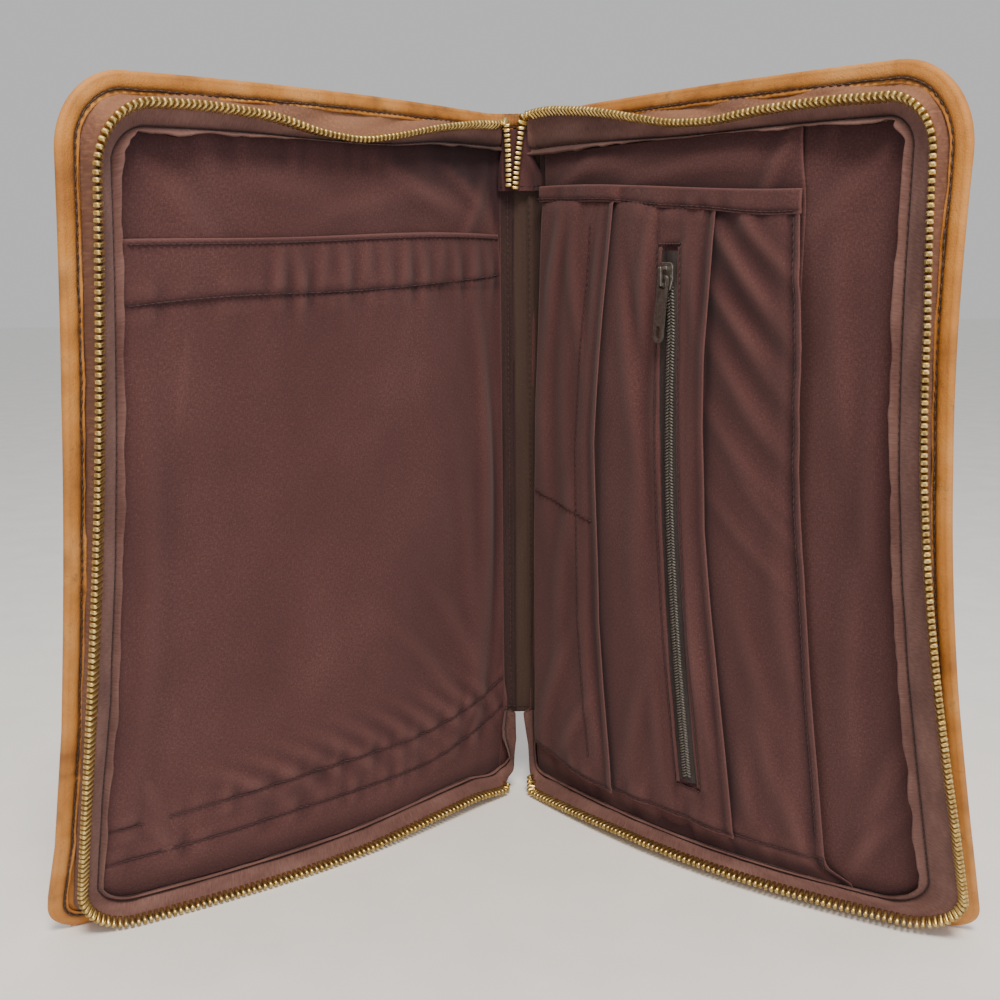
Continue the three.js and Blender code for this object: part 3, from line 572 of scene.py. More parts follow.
@dataclass
class ClothPanel:
    """A panel of cloth on a cover, closed round its rolled edges.

    Args:
        name: the piece's name.
        side: -1 or 1.
        inner: its edge beside the spine, by height.
        outer: its free edge, by height.
        foot: height of its lower edge, by distance from the spine.
        top: height of its upper edge, by distance from the spine.
        back: how far off the leather its back lies.
        relief: how far the cloth stands out of flat.
        thick: thickness of the cloth with its turned-in edge.
        step: spacing of the mesh.
        edge: width over which its edges round off.
        reach: its width and height.
        hem: extra thickness on its front.
        shade: painted light and shade on it: paler above 0, darker below 0.
        trim: adds parts of its own, such as the lips of an opening.
    """

    name: str
    side: int
    inner: Callable[[Array], Array]
    outer: Callable[[Array], Array]
    foot: Callable[[Array], Array]
    top: Callable[[Array], Array]
    back: float
    relief: Relief
    thick: float = 1.0
    step: float = 2.0
    edge: float = 1.5
    reach: tuple[float, float] = (200.0, 290.0)
    hem: Relief | None = None
    shade: Relief | None = None
    trim: Callable[[MeshMaker], None] | None = None

    def front(self, along: Array, up: Array) -> Array:
        """How far off the leather the front lies, away from the edges."""
        hem = self.hem(along, up) if self.hem else 0.0
        return self.back + self.thick + self.relief(along, up) + hem

    def build(self, finish: bpy.types.Material) -> bpy.types.Object:
        """Makes the panel."""
        across, over = (clustered(0.0, 1.0, self.step / reach, self.edge / reach) for reach in self.reach)
        share, height = np.meshgrid(across, over)
        along = np.full_like(height, 100.0)
        for _ in range(4):
            foot, top = self.foot(along), self.top(along)
            up = foot + (top - foot) * height
            inner, outer = self.inner(up), self.outer(up)
            along = inner + (outer - inner) * share
        ends = [along - self.inner(up), self.outer(up) - along, up - self.foot(along), self.top(along) - up]
        near = np.clip(np.minimum.reduce(ends) / self.edge, 0, 1)
        round_off = np.sqrt(1 - (1 - near) ** 2)
        hem = self.hem(along, up) if self.hem else 0.0
        middle = self.back + self.relief(along, up) + self.thick / 2
        half = self.thick / 2 * round_off
        front_off = middle + half + hem * round_off
        back_off = middle - half
        maker = MeshMaker()
        pattern = np.stack([along, up], axis=-1)
        # Paler towards the rolled edges: painted highlight, partly real scuffing
        shade = (1.0 - near) ** 1.5
        # Painted highlight on the crowns of the relief and painted shade in its hollows
        around_it = sum(self.relief(along + dx, up + dy) for dx, dy in ((5, 0), (-5, 0), (0, 5), (0, -5))) / 4
        shade = shade + np.clip((self.relief(along, up) - around_it) * 0.75, -0.5, 0.6) * smooth(near, 0.5, 1)
        if self.shade:
            shade = shade + self.shade(along, up)
        shade = np.clip(shade, -1, 1)
        signed = self.side * along
        front = SURFACE.at(signed, up, front_off)
        back = SURFACE.at(signed, up, back_off)
        maker.grid(front, pattern, shade, flip=self.side < 0)
        maker.grid(back, pattern, shade, flip=self.side > 0)
        if self.trim:
            self.trim(maker)
        return maker.build(self.name, finish, weld=2e-5)


def cover_frame(side: int, along: Array, up: Array, off: Array) -> tuple[Array, Array, Array, Array]:
    """Place, and directions outwards, upwards and inwards, at points of a cover."""
    place = SURFACE.at(side * along, up, off)
    out = SURFACE.at(side * (along + 0.5), up, off) - place
    rise = SURFACE.at(side * along, up + 0.5, off) - place
    out /= np.linalg.norm(out, axis=-1, keepdims=True)
    inward = side * np.cross(out, rise)
    inward /= np.linalg.norm(inward, axis=-1, keepdims=True)
    upward = side * np.cross(inward, out)
    return place, out, upward, inward


@dataclass(frozen=True)
class Thread:
    """Sewing thread of one seam.

    Args:
        pitch: length of a stitch and the gap after it.
        length: length of a stitch.
        width: width of the thread.
        sink: how deep its ends go into the cloth.
    """

    pitch: float = 3.1
    length: float = 2.5
    width: float = 0.55
    sink: float = 0.35


LINING_THREAD = Thread(pitch=3.0, length=2.65, width=0.5, sink=0.22)
TAPE_THREAD = Thread(pitch=3.0, length=2.4, width=0.8, sink=0.35)
RIM_THREAD = Thread(pitch=3.4, length=2.7, width=0.75, sink=0.45)


def resample(points: Array, pitch: float) -> tuple[Array, Array]:
    """Even places along a line.

    Args:
        points: the line, in metres.
        pitch: spacing in millimetres.

    Returns:
        Each place as a fractional index of the line, and the places.
    """
    step = np.linalg.norm(np.diff(points, axis=0), axis=1)
    length = np.concatenate([[0.0], np.cumsum(step)])
    count = max(int(length[-1] * METRE / pitch), 1)
    marks = (np.arange(count) + 0.5) * length[-1] / count
    index = np.interp(marks, length, np.arange(len(points)))
    places = np.stack([np.interp(marks, length, points[:, k]) for k in range(3)], axis=-1)
    return index, places


def at_index(values: Array, index: Array) -> Array:
    """Values read at fractional indices, along the first axis."""
    base = np.arange(len(values))
    if values.ndim == 1:
        return np.interp(index, base, values)
    return np.stack([np.interp(index, base, values[:, k]) for k in range(values.shape[1])], axis=-1)


def unit(values: Array) -> Array:
    """The directions of vectors."""
    return values / np.maximum(np.linalg.norm(values, axis=-1, keepdims=True), 1e-12)


def sew(maker: MeshMaker, line: Array, normal: Array, thread: Thread, seed: int = 3) -> None:
    """Adds the stitches of one seam, over a dark strip painted as the seam's shadow.

    Args:
        maker: where the stitches are collected.
        line: places of the seam on the surface, in metres.
        normal: the direction out of the surface at each.
        thread: the seam's thread.
        seed: choice of the small irregularities.
    """
    index, centre = resample(line, thread.pitch)
    if len(index) < 2:
        return
    tangent = unit(np.gradient(line, axis=0))
    along, out = unit(at_index(tangent, index)), unit(at_index(normal, index))
    side = unit(np.cross(along, out))
    chance = np.random.default_rng(seed)
    tilt = chance.uniform(-0.12, 0.12, len(index))[:, None]
    along = unit(along + side * tilt)
    side = unit(np.cross(along, out))
    reach = thread.length * chance.uniform(0.9, 1.08, len(index)) / 2 / METRE
    rings = np.linspace(-1, 1, 5)
    angles = np.linspace(0, 2 * np.pi, 7)[:-1]
    width = thread.width / 2 / METRE
    swell = np.sqrt(np.clip(1 - 0.85 * rings ** 4, 0, 1))
    lift = (0.25 * thread.width - thread.sink * rings ** 2) / METRE
    points = (
        centre[:, None, None, :]
        + along[:, None, None, :] * (rings[None, :, None, None] * reach[:, None, None, None])
        + out[:, None, None, :] * (lift[None, :, None, None]
                                   + width * (swell[:, None] * np.sin(angles))[None, :, :, None])
        + side[:, None, None, :] * (width * (swell[:, None] * np.cos(angles))[None, :, :, None])
    )
    add_beads(maker, points)
    # A dark strip in the thread's colour, sunk a little into the cloth under the stitches: painted shadow of
    # the seam's furrow
    outwards = unit(normal)
    across = unit(np.cross(tangent, outwards))
    half = 0.5 * thread.width / METRE
    painted_seam_shadow = np.stack([
        line - across * half - outwards * 2e-4,
        line + outwards * 5e-5,
        line + across * half - outwards * 2e-4,
        line - outwards * 4e-4,
    ], axis=1)
    maker.grid(painted_seam_shadow, np.zeros(painted_seam_shadow.shape[:2] + (2,)), ring=True)


def ring_faces(rings: int, corners: int) -> tuple[Array, Array]:
    """Numbers of the points of a tube by ring, and the faces between its rings."""
    grid = np.arange(rings * corners).reshape(rings, corners)
    following = np.roll(grid, -1, axis=1)
    faces = np.stack([grid[:-1], following[:-1], following[1:], grid[1:]], axis=-1)
    return grid, faces.reshape(-1, 4)


def add_beads(maker: MeshMaker, points: Array) -> None:
    """Adds closed beads, each made of rings of six points.

    Args:
        maker: where they go.
        points: beads by rings by six by three.
    """
    count, rings, corners = points.shape[:3]
    grid, quads = ring_faces(rings, corners)
    first, last = grid[0, ::-1], grid[-1]
    caps = np.array([first[[0, 1, 2, 3]], first[[0, 3, 4, 5]], last[[0, 1, 2, 3]], last[[0, 3, 4, 5]]])
    every = np.concatenate([quads, caps])[None] + (np.arange(count) * rings * corners)[:, None, None]
    maker.add(points, every, np.zeros(points.shape[:3] + (2,)))


# How far the middle of a seam stands off the cloth's front
SEAM_LIFT = 0.36


def sew_on_panel(maker: MeshMaker, panel: ClothPanel, along: Array, up: Array, thread: Thread,
                 seed: int = 3) -> None:
    """Adds a seam that lies on the front of a panel."""
    off = panel.front(along, up) + SEAM_LIFT
    place, _, _, inward = cover_frame(panel.side, along, up, off)
    sew(maker, place, inward, thread, seed)


# Materials

def from_hex(colour: str) -> tuple[float, float, float, float]:
    """Linear colour of an sRGB hex value."""
    parts = [int(colour.lstrip("#")[k:k + 2], 16) / 255 for k in (0, 2, 4)]
    linear = [p / 12.92 if p <= 0.04045 else ((p + 0.055) / 1.055) ** 2.4 for p in parts]
    return (linear[0], linear[1], linear[2], 1.0)


def add_node(tree: bpy.types.NodeTree, kind: str, links: dict | None = None, **settings) -> bpy.types.Node:
    """Adds a node with its settings and links.

    Args:
        tree: the material's nodes.
        kind: the node's type, without its ShaderNode prefix.
        links: input name or number to a value or to another node's output.
        settings: properties of the node itself.

    Returns:
        The node.
    """
    node = tree.nodes.new("ShaderNode" + kind)
    for name, value in settings.items():
        setattr(node, name, value)
    for name, value in (links or {}).items():
        if isinstance(value, bpy.types.NodeSocket):
            tree.links.new(value, node.inputs[name])
        else:
            node.inputs[name].default_value = value
    return node


class Surface:
    """A material under construction: its tree, shader and pattern coordinates in millimetres."""

    def __init__(self, name: str) -> None:
        """Starts an empty material."""
        self.material = bpy.data.materials.new(name)
        self.material.use_nodes = True
        self.tree = self.material.node_tree
        self.tree.nodes.clear()
        self.shader = add_node(self.tree, "BsdfPrincipled")
        output = add_node(self.tree, "OutputMaterial")
        self.tree.links.new(self.shader.outputs[0], output.inputs[0])
        uv = add_node(self.tree, "UVMap", uv_map="pattern")
        self.pattern = self.math_vector("MULTIPLY", uv.outputs[0], (10.0, 10.0, 10.0))
        self.solid = self.math_vector(
            "MULTIPLY", add_node(self.tree, "NewGeometry").outputs["Position"], (METRE,) * 3)
        self.wear_patina_and_shade = add_node(self.tree, "Attribute", attribute_name="wear_patina_and_shade").outputs["Fac"]

    def math(self, operation: str, first, second=0.0, clamp: bool = False):
        """A sum of numbers, as a socket."""
        node = add_node(self.tree, "Math", {0: first, 1: second}, operation=operation)
        node.use_clamp = clamp
        return node.outputs[0]

    def math_vector(self, operation: str, first, second):
        """A sum of vectors, as a socket."""
        return add_node(self.tree, "VectorMath", {0: first, 1: second}, operation=operation).outputs[0]

    def stretched(self, across: float, over: float, solid: bool = False):
        """Coordinates divided by two lengths in millimetres."""
        source = self.solid if solid else self.pattern
        return self.math_vector("DIVIDE", source, (across, over, across))

    def noise(self, coordinates, detail: float = 2.0, rough: float = 0.5, distortion: float = 0.0):
        """Noise of unit size on the given coordinates."""
        node = add_node(self.tree, "TexNoise", {
            "Vector": coordinates, "Scale": 1.0, "Detail": detail, "Roughness": rough,
            "Distortion": distortion,
        })
        return node.outputs["Fac"]

    def ramp(self, value, *stops: tuple[float, str]):
        """Colour from a value, by hex stops."""
        node = add_node(self.tree, "ValToRGB", {0: value})
        elements = node.color_ramp.elements
        while len(elements) < len(stops):
            elements.new(0.5)
        for element, (place, colour) in zip(elements, stops):
            element.position = place
            element.color = from_hex(colour)
        return node.outputs[0]

    def mixed(self, share, first, second, blend: str = "MIX"):
        """Two colours mixed."""
        node = add_node(self.tree, "Mix", data_type="RGBA", blend_type=blend)
        for name, value in (("Factor", share), ("A", first), ("B", second)):
            sockets = [s for s in node.inputs if s.name == name and s.enabled]
            if isinstance(value, bpy.types.NodeSocket):
                self.tree.links.new(value, sockets[0])
            else:
                sockets[0].default_value = from_hex(value) if isinstance(value, str) else value
        return next(s for s in node.outputs if s.enabled)

    def set(self, **values) -> None:
        """Sets or links the shader's inputs, named with underscores for spaces."""
        for name, value in values.items():
            socket = self.shader.inputs[name.replace("_", " ")]
            if isinstance(value, bpy.types.NodeSocket):
                self.tree.links.new(value, socket)
            else:
                socket.default_value = value

    def bump(self, height, distance: float, strength: float = 1.0, after=None) -> bpy.types.NodeSocket:
        """A bump of a depth in millimetres, on top of an earlier one."""
        links = {"Strength": strength, "Distance": distance / METRE, "Height": height}
        if after is not None:
            links["Normal"] = after
        return add_node(self.tree, "Bump", links).outputs[0]


@dataclass(frozen=True)
class WaxedLeather:
    """Cowhide, drum tanned and waxed: an open grain that scuffs pale along its folds."""

    name: str = "waxed_tan_cowhide"
    body: str = "#b67835"
    deep: str = "#8a5522"
    pale: str = "#cb9152"
    grime: str = "#553519"
    grain: float = 1.1
    roughness: float = 0.62

    def make(self) -> bpy.types.Material:
        """Cloudy waxed colour, dark handling marks, fine pebbled grain."""
        s = Surface(self.name)
        cloud = s.noise(s.stretched(26.0, 26.0, solid=True), 4.0, 0.6)
        colour = s.ramp(cloud, (0.3, self.deep), (0.5, self.body), (0.72, self.pale))
        streak = s.noise(s.stretched(3.0, 3.0, solid=True), 5.0, 0.7)
        colour = s.mixed(s.math("MULTIPLY", streak, 0.35), colour, self.body)
        scuff = s.noise(s.stretched(6.5, 6.5, solid=True), 6.0, 0.72)
        marks = s.math("MULTIPLY", s.math("SUBTRACT", scuff, 0.58, clamp=True), 3.6, clamp=True)
        colour = s.mixed(marks, colour, self.grime)
        # The value darkens the hide towards the grime colour: handling marks, cracks, seams and cut edge, and
        # painted shade at the head of the spine
        colour = s.mixed(s.wear_patina_and_shade, colour, self.grime)
        grain = add_node(s.tree, "TexVoronoi", {
            "Vector": s.stretched(self.grain, self.grain, solid=True), "Scale": 1.0,
        }, feature="DISTANCE_TO_EDGE").outputs["Distance"]
        fine = s.noise(s.stretched(0.7, 0.7, solid=True), 3.0, 0.6)
        first = s.bump(s.math("MINIMUM", grain, 0.25), 0.35, 0.5)
        second = s.bump(fine, 0.25, 0.4, after=first)
        creases = s.noise(s.stretched(9.0, 5.0, solid=True), 6.0, 0.7, 0.6)
        third = s.bump(creases, 0.9, 0.35, after=second)
        rough = s.math("ADD", s.math("MULTIPLY", scuff, 0.25), self.roughness - 0.12)
        s.set(Base_Color=colour, Roughness=rough, Normal=third)
        s.set(Specular_IOR_Level=0.35)
        return s.material


@dataclass(frozen=True)
class CottonTwill:
    """Dyed cotton, plainly woven: slubs in both directions and a faint bloom."""

    name: str = "dyed_cotton_lining"
    # Colour of the painted shade
    deep: str = "#1d1118"
    dark: str = "#3c2424"
    body: str = "#523332"
    pale: str = "#76514e"
    thread: float = 0.4
    slub: float = 1.7
    paling: float = 0.5
    roughness: float = 0.88

    def make(self) -> bpy.types.Material:
        """Threads drawn at about twice their real spacing, so that they show."""
        s = Surface(self.name)
        warp = s.noise(s.stretched(self.thread, self.slub), 2.0, 0.6)
        weft = s.noise(s.stretched(self.slub, self.thread), 2.0, 0.6)
        weave = s.math("MULTIPLY", s.math("ADD", warp, weft), 0.5)
        fleck = s.noise(s.stretched(0.9, 0.9), 1.0, 0.5)
        weave = s.math("ADD", s.math("MULTIPLY", weave, 0.7), s.math("MULTIPLY", fleck, 0.3))
        cloud = s.noise(s.stretched(55.0, 70.0), 3.0, 0.55)
        value = s.math("ADD", s.math("MULTIPLY", weave, 0.75), s.math("MULTIPLY", cloud, 0.25))
        colour = s.ramp(value, (0.3, self.dark), (0.51, self.body), (0.78, self.pale))
        # Above 0 the value pales the cloth: mostly painted highlight on rolled edges, fold crowns and the
        # facing's top, partly real scuffing
        rubbed_and_highlit = s.math("MULTIPLY", s.math("MAXIMUM", s.wear_patina_and_shade, 0.0), self.paling)
        colour = s.mixed(rubbed_and_highlit, colour, self.pale)
        # Below 0 the value darkens the cloth towards the deep colour: painted shade in seams, creases, along
        # the foot, under the gusset and where one part shades another
        painted_shade = s.math("MULTIPLY", s.math("MAXIMUM", s.math("MULTIPLY", s.wear_patina_and_shade, -1.0), 0.0), 0.75)
        colour = s.mixed(painted_shade, colour, self.deep)
        first = s.bump(weave, 0.2, 0.5)
        creases = s.noise(s.stretched(16.0, 26.0), 4.0, 0.6, 0.5)
        second = s.bump(creases, 0.7, 0.2, after=first)
        s.set(Base_Color=colour, Roughness=self.roughness, Normal=second)
        s.set(Specular_IOR_Level=0.18, Sheen_Weight=0.12, Sheen_Roughness=0.45)
        return s.material


@dataclass(frozen=True)
class ZipTape:
    """Woven zip tape: fine ribs across its length."""

    name: str = "woven_zip_tape"
    # Colour of the painted shade
    deep: str = "#33221f"
    dark: str = "#553935"
    body: str = "#6a4b45"
    pale: str = "#7d5d56"
    rib: float = 0.6
    roughness: float = 0.86

    def make(self) -> bpy.types.Material:
        """Ribs run across the tape, drawn a little coarse."""
        s = Surface(self.name)
        across = s.noise(s.stretched(2.4, self.rib), 2.0, 0.5)
        cloud = s.noise(s.stretched(9.0, 30.0), 3.0, 0.5)
        value = s.math("ADD", s.math("MULTIPLY", across, 0.4), s.math("MULTIPLY", cloud, 0.6))
        colour = s.ramp(value, (0.35, self.dark), (0.52, self.body), (0.7, self.pale))
        # Painted shade: the tape darkens in the seam's furrow, along its edge by the teeth and under the zip
        # at the head of the spine
        colour = s.mixed(s.math("MAXIMUM", s.wear_patina_and_shade, 0.0), colour, self.deep)
        s.set(Base_Color=colour, Roughness=self.roughness, Normal=s.bump(across, 0.15, 0.5))
        s.set(Specular_IOR_Level=0.2, Sheen_Weight=0.1)
        return s.material


@dataclass(frozen=True)
class AntiqueBrass:
    """Stamped brass, tumbled and darkened: bright on its polished crowns, brown in its gaps."""

    name: str = "antiqued_brass_teeth"
    bright: str = "#f6de98"
    body: str = "#d6b260"
    patina: str = "#6b4e28"
    roughness: float = 0.3

    def make(self) -> bpy.types.Material:
        """Patina sits low on each tooth, where the wear value is high."""
        s = Surface(self.name)
        spots = s.noise(s.stretched(1.3, 1.3, solid=True), 3.0, 0.6)
        colour = s.ramp(spots, (0.3, self.body), (0.62, self.bright))
        colour = s.mixed(s.wear_patina_and_shade, colour, self.patina)
        rough = s.math("ADD", s.math("MULTIPLY", s.wear_patina_and_shade, 0.35), self.roughness - 0.02)
        s.set(Base_Color=colour, Metallic=1.0, Roughness=rough, Normal=s.bump(spots, 0.05, 0.5))
        return s.material


@dataclass(frozen=True)
class DullFinish:
    """A plain dyed or coated finish with a grain of its own.

    Args:
        name: what the material is.
        dark: its colour in hollows.
        pale: its colour on crowns.
        grain: size of its grain in millimetres.
        roughness: how matt it is.
        metallic: 1 for metal.
        depth: depth of the grain in millimetres.
        coat: weight of a clear coat.
    """

    name: str
    dark: str
    pale: str
    grain: float
    roughness: float
    metallic: float = 0.0
    depth: float = 0.1
    coat: float = 0.0

    def make(self) -> bpy.types.Material:
        """Two tones in a fine grain."""
        s = Surface(self.name)
        grain = s.noise(s.stretched(self.grain, self.grain, solid=True), 3.0, 0.6)
        colour = s.ramp(grain, (0.35, self.dark), (0.68, self.pale))
        s.set(Base_Color=colour, Roughness=self.roughness, Normal=s.bump(grain, self.depth, 0.5))
        s.set(Metallic=self.metallic, Coat_Weight=self.coat, Coat_Roughness=0.12)
        return s.material


# Sewing thread: twisted polyester, a touch glossier and darker than the cloth round it; it also colours the
# dark strips painted as the seams' shadows
LINING_COTTON_THREAD = DullFinish("twisted_maroon_thread_and_seam_shadow", "#2a1718", "#43282a", 0.35, 0.7)
RIM_POLYESTER_THREAD = DullFinish("waxed_brown_thread_and_seam_shadow", "#2b1a10", "#4c3120", 0.4, 0.6)
# Nylon coil and tape of the organiser's zip: extruded, near black, with soft gloss
NYLON_COIL = DullFinish("extruded_nylon_coil", "#3b3733", "#6b665e", 0.6, 0.38)
NYLON_TAPE = DullFinish("knitted_nylon_tape", "#1e1817", "#3a2f2d", 0.5, 0.85, depth=0.25)
# Zinc die casting, gunmetal plated: dark, with a greyer polished gloss
GUNMETAL = DullFinish("gunmetal_plated_zinc", "#77736d", "#98938b", 1.4, 0.34,
                      metallic=0.85, depth=0.01, coat=0.4)
# Cloth beside the rim, in the shade of the gusset: the same cotton, browner
FACING_COTTON = CottonTwill(name="brown_cotton_facing", dark="#50362c", body="#6f4c3d", pale="#a07558",
                            paling=0.9, thread=0.8, slub=1.6)
# Greyer cotton along the spine
SPINE_COTTON = CottonTwill(name="grey_brown_spine_cotton", dark="#281b1c", body="#342423", pale="#4f3f33",
                           paling=0.42)


# Pieces

@dataclass
class Finishes:
    """The materials of the case, made once."""

    leather: bpy.types.Material = field(default_factory=lambda: WaxedLeather().make())
    lining: bpy.types.Material = field(default_factory=lambda: CottonTwill().make())
    facing: bpy.types.Material = field(default_factory=lambda: FACING_COTTON.make())
    spine: bpy.types.Material = field(default_factory=lambda: SPINE_COTTON.make())
    tape: bpy.types.Material = field(default_factory=lambda: ZipTape().make())
    brass: bpy.types.Material = field(default_factory=lambda: AntiqueBrass().make())
    thread: bpy.types.Material = field(default_factory=lambda: LINING_COTTON_THREAD.make())
    rim_thread: bpy.types.Material = field(default_factory=lambda: RIM_POLYESTER_THREAD.make())
    coil: bpy.types.Material = field(default_factory=lambda: NYLON_COIL.make())
    nylon_tape: bpy.types.Material = field(default_factory=lambda: NYLON_TAPE.make())
    gunmetal: bpy.types.Material = field(default_factory=lambda: GUNMETAL.make())


def settle(piece: bpy.types.Object, slot: str, *nodes: str, body: str = "case") -> bpy.types.Object:
    """Makes a piece ride on its body and stand for its nodes."""
    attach(piece, body)
    if nodes:
        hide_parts(*nodes)
    log.info("%s: %d faces", piece.name, len(piece.data.polygons))
    return piece


@dataclass(frozen=True)
class CornerRadii:
    """Radii of one cover's corners, as rounded by use."""

    foot: float
    top: float


CORNER_RADII = {-1: CornerRadii(foot=14.0, top=25.0), 1: CornerRadii(foot=13.0, top=31.0)}
# How far the aged hide spreads past the solid's free edge, and how far its top has sunk
EDGE_SPREAD = {-1: 1.9, 1: 1.0}
EDGE_DROP = 1.0
# Heights between which the rim runs up the free edge, below which along the foot, above which along the top
RIM_FOOT, RIM_TOP = 12.0, 318.0


@dataclass
class LeatherShell:
    """Both covers and the spine in one hide, turned in round the edges.

    Args:
        round_radius: radius of the fold along the edge.
        field_inset: where the turned edge joins the field.
        seam_depth: distance of the seam from the edge.
        cross_seams: where the turned edge was pieced, by distance round the edge.
    """

    round_radius: float = 1.8
    field_inset: float = 12.0
    seam_depth: float = 6.0
    cross_seams: tuple[float, ...] = (290.0, 448.0, 1330.0)

    def half_outline(self, side: int, depth: Array) -> tuple[Array, Array]:
        """Line round one cover, from the slot to the middle of the spine.

        Args:
            side: -1 or 1.
            depth: distances inwards from the edge.

        Returns:
            Distance from the spine and height, by station and depth.
        """
        corners = CORNER_RADII[side]
        reach, height = SIZE.reach + EDGE_SPREAD[side], SIZE.height - EDGE_DROP
        foot, top = corners.foot, corners.top
        arc = np.linspace(0, math.pi / 2, 16)
        foot_run = np.linspace(SIZE.notch_foot / 2, reach - foot, 72)
        side_run = np.linspace(foot, height - top, 104)
        top_run = np.concatenate([np.linspace(reach - top, 16, 70), np.linspace(16, 0, 40)[1:]])
        blank = 0.0 * depth
        rows = [(along + blank, depth + blank) for along in foot_run]
        rows += [(reach - foot + (foot - depth) * math.sin(a), foot - (foot - depth) * math.cos(a))
                 for a in arc[1:]]
        rows += [(reach - depth, up + blank) for up in side_run[1:]]
        rows += [(reach - top + (top - depth) * math.cos(a), height - top + (top - depth) * math.sin(a))
                 for a in arc[1:]]
        rows += [(along + blank, height - depth) for along in top_run[1:]]
        out, up = (np.array([row[k] for row in rows]) for k in (0, 1))
        return out + self.edge_shift(side, out, up), up

    def edge_shift(self, side: int, out: Array, up: Array) -> Array:
        """How far the hide reaches beyond its place in the solids near the free edge."""
        return np.interp(up, *EDGE_LINE[side]) * smooth(out, SIZE.reach - 40.0, SIZE.reach - 8.0)

    def outline(self, depth: Array) -> tuple[Array, Array, Array]:
        """Line round both covers at each depth from the edge.

        Args:
            depth: distances inwards from the edge.

        Returns:
            Signed along, up, and distance round the edge, by station and depth.
        """
        left, right = self.half_outline(-1, depth), self.half_outline(1, depth)
        along = np.concatenate([-left[0], right[0][::-1][1:]])
        up = np.concatenate([left[1], right[1][::-1][1:]])
        edge = SURFACE.at(along[:, 0], up[:, 0], 0.0)
        travel = np.concatenate([[0.0], np.cumsum(np.linalg.norm(np.diff(edge, axis=0), axis=1))])
        return along, up, np.broadcast_to(travel[:, None] * METRE, along.shape)

    def crease(self, along: Array, up: Array) -> Array:
        """Soft unevenness of the hide."""
        broad = lattice_noise(along / 38 + 11, up / 38, 5) * 0.5
        fine = lattice_noise(along / 9 + 3, up / 9, 6) * 0.12
        return broad + fine

    def build(self, finishes: Finishes) -> bpy.types.Object:
        """Makes the hide: outer face, turned edge, inner face and notch edge."""
        maker = MeshMaker()
        radius, rise = self.round_radius, SIZE.leather + SIZE.rim_rise
        curve = np.array([1.0, 0.96, 0.85, 0.68, 0.46, 0.22, 0.08, 0.0])
        outer_depth = np.concatenate([[self.field_inset, 9.0, 6.0, 3.6], radius * curve])
        outer_off = np.where(outer_depth < radius,
                             radius - np.sqrt(np.clip(radius**2 - (radius - outer_depth)**2, 0, None)), 0.0)
        inner_depth = np.concatenate([radius * curve[::-1][1:], [2.6, 3.4, 4.2, 4.8, 5.3, 5.8, 6.3, 6.8,
                                                                7.2, 7.5, 7.7, 7.6, 6.5]])
        swell = np.clip((inner_depth - radius) / (self.seam_depth - radius), 0, 1)
        inner_off = np.where(
            inner_depth < radius,
            rise - radius + np.sqrt(np.clip(radius**2 - (radius - inner_depth)**2, 0, None)),
            rise + 0.35 * np.sin(np.pi * swell))
        inner_off = inner_off - 0.45 * np.exp(-((inner_depth - self.seam_depth) / 0.5) ** 2)
        inner_off[-5:] = (rise + 0.1, rise - 0.1, rise - 0.6, rise - 1.4, rise - 1.6)
        depth = np.concatenate([outer_depth, inner_depth])
        off = np.concatenate([outer_off, inner_off])
        along, up, travel = self.outline(depth)
        face = np.broadcast_to(depth, along.shape)
        inside = (np.arange(len(depth)) >= len(outer_depth))[None, :]
        gathers = lattice_noise(travel / 2.1, face / 9, 23) * np.exp(-((face - self.seam_depth) / 1.8) ** 2)
        wave = lattice_noise(travel / 22, face / 30, 8) * 0.35 + gathers * 0.3
        wave = wave + 0.5 * self.rim_seams(travel)
        pleats = self.pleats(along, up)
        lifted = np.where(inside & (off > 1.9), wave, 0.0) - pleats * np.where(inside, 0.6, -1.0)
        wobble = lattice_noise(travel / 15, 0 * travel, 9) * 0.4
        wobble = wobble + lattice_noise(travel / 4, 0 * travel, 19) * 0.22
        raw = (np.arange(len(depth)) >= len(depth) - 6)[None, :]
        shift = np.where(raw, wobble, 0.0)
        on_side = (np.abs(along) > SIZE.reach - 20) & (up > RIM_FOOT) & (up < RIM_TOP)
        along = along - np.sign(along) * shift * on_side
        up = up + np.where(up < RIM_FOOT, shift, np.where(up > RIM_TOP, -shift, 0))
        place = SURFACE.at(along, up, off[None, :] + lifted)
        seam = np.exp(-((face - self.seam_depth) / 0.9) ** 2)
        # The hide's value, towards the grime colour: darker along the seam and from it to the cut edge, at
        # the cut edge, in cracks and cross seams, and with handling marks
        shade = 0.4 * seam * inside + 0.25 * smooth(face, 3.5, 6.5) * inside
        shade = shade + np.where(raw, -0.55, 0.0)
        shade[:, -3:] = 0.85
        cracked = np.clip(gathers * 1.6 * inside, 0, 1)
        shade = shade + cracked * 0.5 + np.clip(self.rim_seams(travel), -1, 0) * -0.9 * inside
        # Its last term is painted shade at the head of the spine, where the hide bends into the case
        shade = shade + self.grime(travel, face) + 0.35 * np.exp(-(along / 10) ** 2) * inside
        maker.grid(place, np.stack([travel, face], axis=-1), np.clip(shade, -1, 1))
        self.add_field(maker, 0.0, False)
        self.add_field(maker, SIZE.leather, True)
        self.add_notch_edge(maker)
        piece = maker.build("hide_shell", finishes.leather)
        return settle(piece, "leather", "leather_shell")

    def pleats(self, along: Array, up: Array) -> Array:
        """Upright pleats where the head of the spine bends."""
        window = np.exp(-(along / 8.0) ** 2) * np.exp(-((SIZE.height - up) / 16.0) ** 2)
        return 0.55 * window * np.sin(along * 2.2 + 0.7 * np.sin(up / 5))

